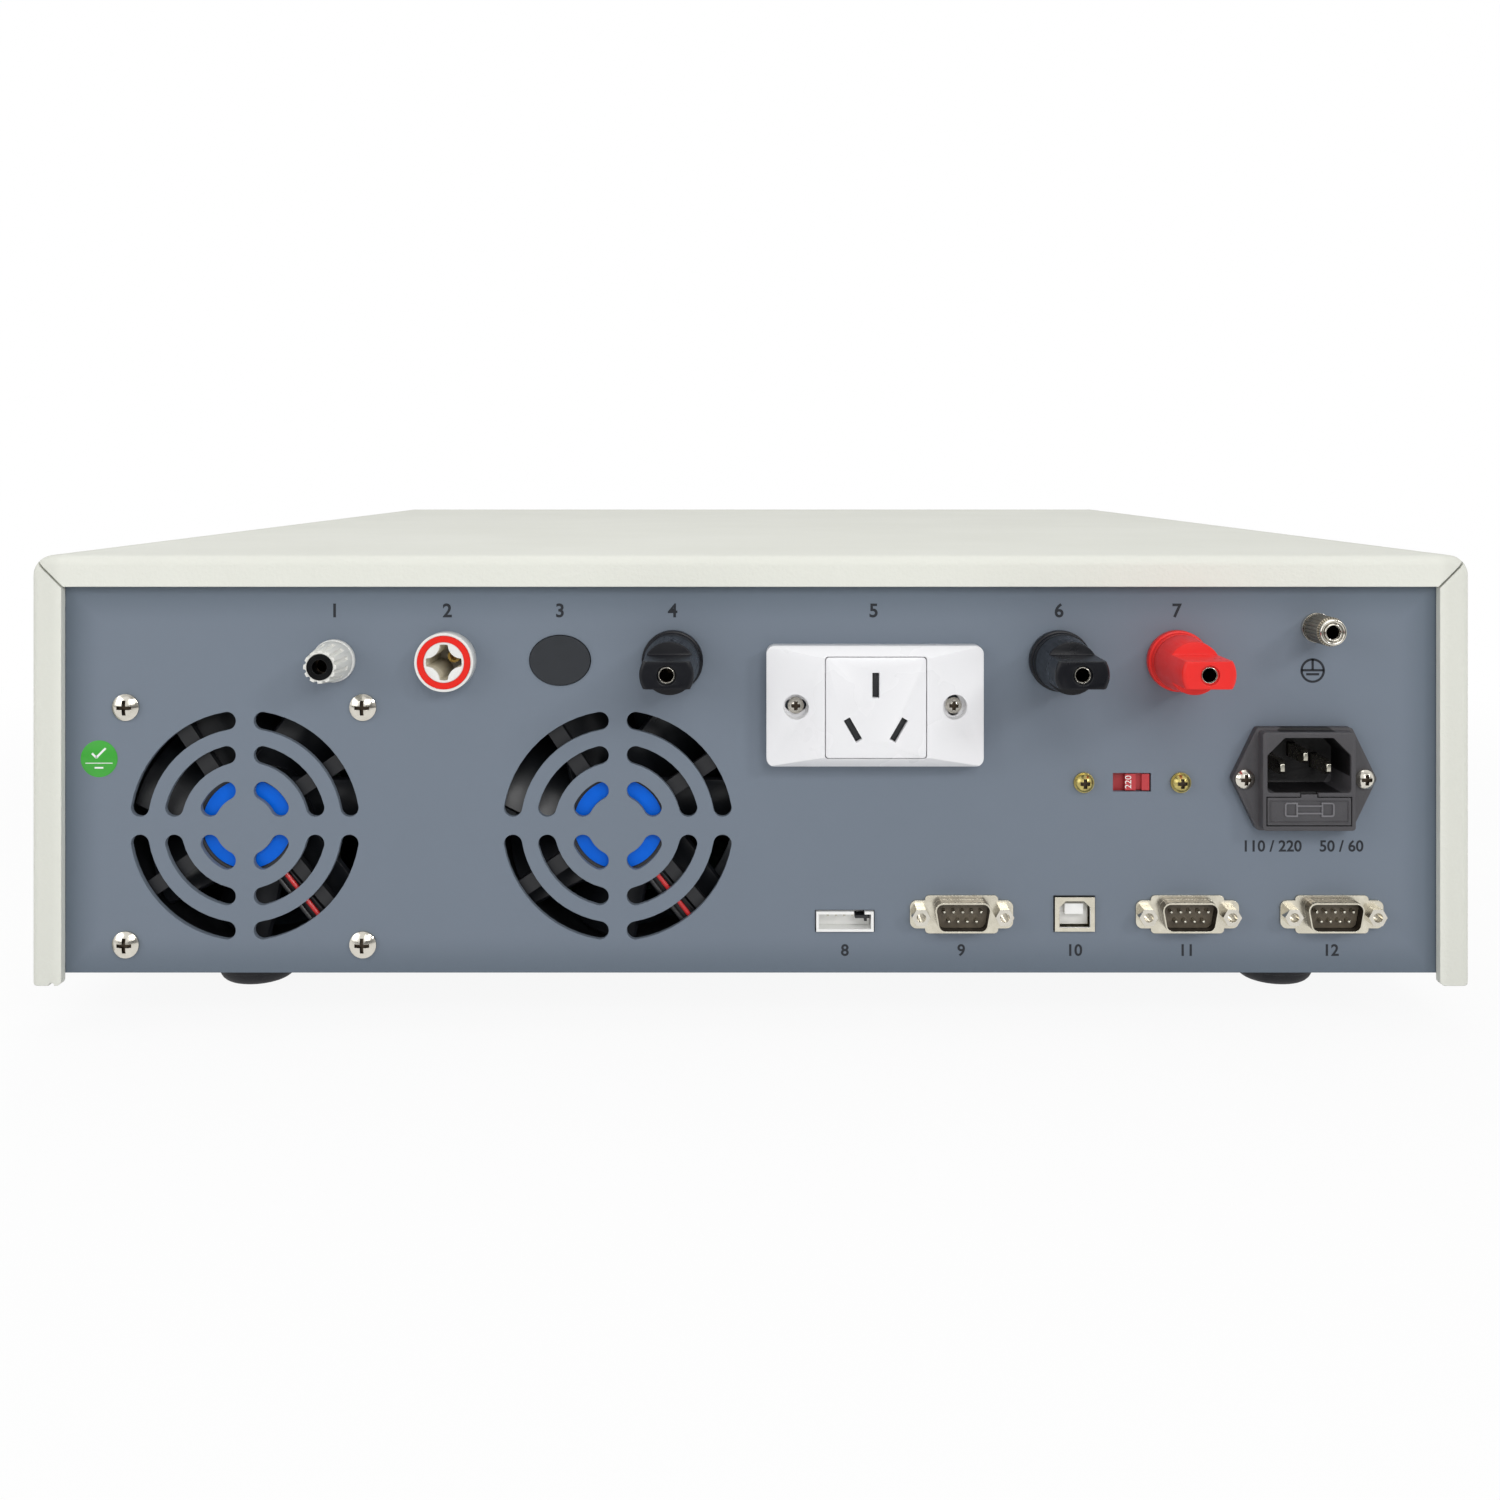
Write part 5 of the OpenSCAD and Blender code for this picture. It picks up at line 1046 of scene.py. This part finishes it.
@dataclass
class Outlet(Assembly):
    """White mains outlet: bevelled plate, square insert, shutters behind its slots."""

    across: float = 37.1
    out: float = 9.0
    slot_t: float = 2.1
    slot_l: float = 7.5
    pin_r: float = 6.6
    inlet_screw: float = 18.0
    outlet_screw: float = 23.6

    finishes = {Stock.TURNED_BRASS: ("socket_contacts",), Stock.NICKEL: ("panel_screws",)}

    def model(self) -> None:
        """Softened plate and insert, dark shutters a little way down each slot."""
        soften("outlet_plate", Stock.OUTLET_WHITE, 0.7, 3, angle=15.0)
        soften("outlet_insert", Stock.OUTLET_WHITE, 0.3)
        top, r = self.out - 2.4, self.pin_r
        places = ((0.0, r, 0.0), (r * 1.03, -r, -30.0), (-r * 1.03, -r, 30.0))
        for i, (x, y, roll) in enumerate(places, 1):
            bar(f"outlet_shutter_{i}", self.slot_t - 0.08, self.slot_l - 0.08, -3.0, top, x, y,
                roll).round_top(top - 0.01, 0.4).place(
                Spot(self.across, CASE.z_outlet)).finish(Stock.SELECTOR_BLACK)

    def detail(self) -> None:
        """Painted shade in the crosses of the screw heads."""
        dress_crosses("panel_screws", [
            (middle + side * step, up) for middle, step, up in (
                (Inlet.across, self.inlet_screw, CASE.z_inlet),
                (self.across, self.outlet_screw, CASE.z_outlet)) for side in (-1, 1)])


@dataclass
class Inlet(Assembly):
    """Fused mains inlet: charcoal housing, tin-plated pins and the fuse drawer's relief."""

    across: float = 166.0
    out: float = 7.0
    drawer_up: float = -8.9
    drawer: Pair = (24.9, 8.2)
    sign: Pair = (14.8, 4.3)
    cap_w: float = 3.9
    line: float = 0.5
    raised: float = 0.4
    pin_places: tuple[Pair, ...] = ((-6.9, 3.5), (6.9, 3.5), (0.0, 6.8))
    pin_w: float = 2.0
    pin_h: float = 4.0
    pin_from: float = -32.0
    pin_to: float = 4.0
    pin_tip: float = 1.6

    finishes = {Stock.FUSE_GLASS: ("fuses",)}

    def model(self) -> None:
        """Softened housing and drawer, the raised fuse sign and its frame."""
        soften("inlet_housing", Stock.INLET_BLACK, 0.35)
        soften("fuse_drawer", Stock.INLET_BLACK, 0.25, body=Body.DRAWER)
        spot = Spot(self.across, CASE.z_inlet + self.drawer_up, self.out)
        long, high = self.sign
        middle = (long - self.cap_w) / 2
        # The outer corners of each end cap are rounded and its inside is sunk to the drawer.
        sign, other = (
            bar("fuse_sign", self.cap_w, high, -0.3, self.raised, side * middle).bevel(
                lambda c, run, side=side: abs(run.z) > 0.9 and side * c.x > (long - 0.1) / 2,
                0.9, 4).inset(lambda c, n: n.z > 0.9, self.line).extrude(
                lambda c, n: n.z > 0.9 and abs(abs(c.x) - middle) < 1.3 and abs(c.y) < 0.3,
                (0, 0, -0.5)) for side in (-1, 1))
        sign.add(other)
        for up in (-1.1, 1.1):
            sign.add(bar("mark", long - 2 * self.cap_w + 0.1, self.line, 0.0, self.raised, up=up))
        sign.round_top(self.raised - 0.01, 0.13).place(spot.moved(0.6)).finish(
            Stock.INLET_RELIEF, Body.DRAWER)
        flat_frame("drawer_rib", self.drawer[0] - 1.4, self.drawer[1] - 1.6, 0.3, 0.2).round_top(
            0.19, 0.08).place(spot).finish(Stock.INLET_BLACK, Body.DRAWER)
        self.pins()

    def pins(self) -> None:
        """Three flat pins, each with a tapered tip."""
        top = self.pin_to - self.pin_tip
        whole, *others = (
            bar("inlet_pin_set", self.pin_w, self.pin_h, self.pin_from, top, *seat).extrude(
                lambda c, n: n.z > 0.9 and c.z > top - 0.01, (0, 0, self.pin_tip),
                (0.6, 0.55, 1)).round_top(top - 0.01, 0.12) for seat in self.pin_places)
        for pin in others:
            whole.add(pin)
        whole.place(Spot(self.across, CASE.z_inlet)).finish(
            Stock.TIN, replaces="inlet_pins", slot="pin_metal")


@dataclass
class Selector(Assembly):
    """Voltage selector: red slider seen through the panel's window, zinc screws."""

    across: float = 115.0
    digits_x: float = -0.95
    screw_step: float = 14.6

    finishes = {
        Stock.SELECTOR_BLACK: ("selector_housing",), Stock.SELECTOR_RED: ("selector_slider",),
        Stock.YELLOW_ZINC: ("selector_screws",)}

    def model(self) -> None:
        """Plain numbers along the slider's left edge."""
        lettering("selector_numbers", "220", 1.9, 0.02).place(
            Spot(self.across + self.digits_x, CASE.z_selector, -0.39), 90.0).finish(
            Stock.WHITE_INK, Body.SELECTOR)

    def detail(self) -> None:
        """Painted shade in the crosses of the screw heads."""
        dress_crosses("selector_screws", [(self.across + side * self.screw_step, CASE.z_selector)
                                          for side in (-1, 1)])


@dataclass
class Ports(Assembly):
    """Signal header, three nine-way ports and the square data port."""

    header: float = 28.4
    data: float = 97.6
    header_size: Pair = (17.3, 6.0)
    data_half: Pair = (4.8, 4.1)

    finishes = {
        Stock.HEADER_WHITE: ("signal_header", "data_tongue"),
        Stock.SHELL_NICKEL: ("port_shells",), Stock.NICKEL: ("jackscrews",),
        Stock.INSERT_BROWN: ("port_inserts",), Stock.TIN: ("port_pins",)}

    def model(self) -> None:
        """A dark block at the header's right as painted shadow, and pale floors set shallow in the
        header and data port as painted light.
        """
        # Pale floors, shallower than the real ones, stand in for light inside the openings.
        for name, across, up, top, size in (
                ("header_floor", self.header, CASE.z_header, -3.9, (15.5, 4.3)),
                ("data_port_floor", self.data, CASE.z_port, -2.6, (9.1, 7.8))):
            bar(name, *size, top - 0.7, top).round_top(top - 0.1, 0.15).place(
                Spot(across, up)).finish(Stock.HEADER_WHITE)
        # A dark block and bar at the header's right stand in for a shadow there.
        x, y = self.header_size[0] / 4, self.header_size[1] / 2
        bar("header_shadow_block", 4.4, 0.9, -4.0, 0.6, x + 0.9, y - 1.6).round_top(0.5, 0.2).add(
            bar("mark", 0.8, 2.4, -5.0, 0.2, x + 1.9, y - 1.8)).place(
            Spot(self.header, CASE.z_header)).finish(Stock.SELECTOR_BLACK)

    def detail(self) -> None:
        """Painted shade on the shells' walls, and the data port's inner walls painted pale as
        painted light.
        """
        wide, high = self.data_half
        # Painted shade on the shells' walls.
        dress_part(Stock.SHELL_WALL, "port_shells",
                   lambda c, n: abs(n.y) < 0.5 and c.y < CASE.y_panel - 1.2)
        # The data port's inner metal walls are painted white as painted light.
        dress_part(Stock.HEADER_WHITE, "port_shells", lambda c, n: abs(n.y) < 0.5
                   and abs(c.x - self.data) < wide and abs(c.z - CASE.z_port) < high)


class Inside(Assembly):
    """Boards, transformers and heat sink, seen only through gaps."""

    finishes = {
        Stock.BOARD: ("circuit_boards",), Stock.CORE: ("power_transformer",),
        Stock.POTTING: ("hv_transformer",), Stock.SINK: ("heat_sink",)}


# Studio


@dataclass(frozen=True)
class View:
    """The photograph's camera: straight on the rear, level, a little over the case's top."""

    across: float = 1.0
    up: float = 170.5
    distance: float = 460.0
    width_at_rim: float = 449.5
    sensor: float = 36.0
    axis_px: Pair = (754.0, 467.0)
    frame_px: float = 1500.0

    def make(self) -> None:
        """Adds the camera and makes it the scene's own."""
        bpy.ops.object.camera_add(
            location=Vector((self.across, CASE.y_rim - self.distance, self.up)) * MM,
            rotation=(math.pi / 2, 0.0, 0.0))
        camera = bpy.context.object
        camera.name = "camera"
        camera.data.sensor_width = self.sensor
        camera.data.lens = self.sensor * self.distance / self.width_at_rim
        # The optical axis stands at axis_px, so the frame is shifted the other way.
        camera.data.shift_x = (self.frame_px / 2 - self.axis_px[0]) / self.frame_px
        camera.data.shift_y = (self.axis_px[1] - self.frame_px / 2) / self.frame_px
        camera.data.clip_start, camera.data.clip_end = 0.01, 50.0
        bpy.context.scene.camera = camera
        LOG.info("camera %.2f mm lens", camera.data.lens)


@dataclass(frozen=True)
class Lamp:
    """A soft studio panel light, placed in metres and aimed at a point."""

    name: str
    place: Triple
    aim: Triple
    width: float
    height: float
    watts: float

    def make(self) -> None:
        """Adds the lamp."""
        bpy.ops.object.light_add(type="AREA", location=self.place)
        lamp = bpy.context.object
        lamp.name = self.name
        lamp.data.shape = "RECTANGLE"
        lamp.data.size, lamp.data.size_y = self.width, self.height
        lamp.data.energy = self.watts
        lamp.rotation_mode = "QUATERNION"
        run = Vector(self.aim) - Vector(self.place)
        lamp.rotation_quaternion = run.to_track_quat("-Z", "Y")


def blend(tree: Tree, part: Socket, under: Socket, over: Socket) -> Socket:
    """Lays one shader over another by a part from 0 to 1."""
    return add_node(tree, "ShaderNodeMixShader", {0: part, 1: under, 2: over}).outputs[0]


def eyes(tree: Tree) -> tuple[Socket, Socket]:
    """Whether the camera sees it, straight or through glass, and whether a reflection does."""
    rays = add_node(tree, "ShaderNodeLightPath").outputs
    return (calc(tree, "MAXIMUM", rays["Is Camera Ray"], rays["Is Transmission Ray"]),
            rays["Is Glossy Ray"])


def white(tree: Tree, kind: str, strength: Any) -> Socket:
    """A white background or emission of some strength."""
    return add_node(tree, kind, {"Color": linear("#ffffff"), "Strength": strength}).outputs[0]


@dataclass(frozen=True)
class Studio:
    """White paper floor, white surround and soft lamps."""

    world_level: float = 0.44
    far_side_level: float = 0.16
    fibre_mm: float = 10 / 9
    softbox: Triple = (-0.25, -0.85, 0.46)
    lamps: tuple[Lamp, ...] = (
        Lamp("key_light", (0.4, -1.7, 0.85), (0.0, -0.2, 0.08), 0.8, 0.8, 8.2),
        Lamp("right_light", (2.0, -2.05, 1.45), (0.0, -0.2, 0.08), 0.5, 0.5, 13.6),
        Lamp("top_light", (-0.2, 0.1, 1.7), (0.0, 0.0, 0.1), 1.6, 1.6, 8.0),
        Lamp("left_light", (-1.2, -1.0, 0.6), (-0.1, -0.2, 0.08), 0.9, 0.9, 4.6),
    )

    def world(self) -> None:
        """A white surround to the eye and in reflections, and a softer light on the object."""
        world = bpy.data.worlds.new("white_surround")
        bpy.context.scene.world = world
        tree = fresh_tree(world)
        seen, mirrored = eyes(tree)
        # In reflections the white backdrop stands behind the object and a dimmer room before it.
        seat = add_node(tree, "ShaderNodeTexCoord").outputs["Generated"]
        room = ramp(tree, along(tree, seat)["Y"], (-0.9, -0.2), (self.far_side_level, 1.0), True)
        # A softbox beside the camera, seen in rounded metal only.
        near = add_node(tree, "ShaderNodeVectorMath", {
            0: seat, 1: Vector(self.softbox).normalized()},
            operation="DOT_PRODUCT").outputs["Value"]
        level = calc(tree, "MAXIMUM", room, ramp(tree, near, (0.82, 0.92), soft=True))
        dull, bright, shiny = (white(tree, "ShaderNodeBackground", strength)
                               for strength in (self.world_level, 1.0, level))
        soft = blend(tree, mirrored, dull, shiny)
        add_node(tree, "ShaderNodeOutputWorld", {"Surface": blend(tree, seen, soft, bright)})

    def floor(self) -> None:
        """A wide white paper floor that keeps the object's soft shadow."""
        bpy.ops.object.select_all(action="DESELECT")
        bpy.ops.mesh.primitive_plane_add(size=30.0, location=(0.0, 0.0, -0.0002))
        floor = bpy.context.object
        floor.name = "floor"
        material = bpy.data.materials.new("white_paper_floor")
        tree = fresh_tree(material)
        seen, mirrored = eyes(tree)
        place = add_node(tree, "ShaderNodeTexCoord").outputs["Object"]
        # Reflections see the paper near the object, and less of it towards the camera.
        ahead = ramp(tree, along(tree, place)["Y"], (-0.9, -0.4), (self.far_side_level, 1.0), True)
        # Far out the floor is the same pure white as the surround, so no horizon shows.
        out = add_node(tree, "ShaderNodeVectorMath", {0: place}, operation="LENGTH")
        clear = ramp(tree, out.outputs["Value"], (0.34, 0.75), (0.92, 1.0), True)
        paper = add_node(tree, "ShaderNodeBump", {
            "Strength": 0.2, "Distance": 0.00005,
            "Height": noise(tree, place, self.fibre_mm, 2.0, 0.5)})
        matt = add_node(tree, "ShaderNodeBsdfDiffuse", {
            "Color": linear("#f2f2f2"), "Normal": paper.outputs[0]}).outputs[0]
        bounced, glow = (white(tree, "ShaderNodeEmission", strength)
                         for strength in (ahead, seen))
        both = blend(tree, seen, matt, blend(tree, clear, matt, glow))
        add_node(tree, "ShaderNodeOutputMaterial", {
            "Surface": blend(tree, mirrored, both, bounced)})
        floor.data.materials.append(material)

    def make(self) -> None:
        """Sets the colour view and adds the floor, surround and lamps."""
        bpy.context.scene.view_settings.view_transform = "Standard"
        self.world()
        self.floor()
        for lamp in self.lamps:
            lamp.make()


def main() -> None:
    """Builds the studio and dresses the model."""
    logging.basicConfig(level=logging.INFO, format="%(message)s")
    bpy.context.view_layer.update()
    View().make()
    Studio().make()
    for assembly in (Cover(), RearPanel(), FrontSet(), Fans(), Terminals(), Outlet(), Inlet(),
                     Selector(), Ports(), Inside()):
        assembly.build()


if __name__ == "__main__":
    main()
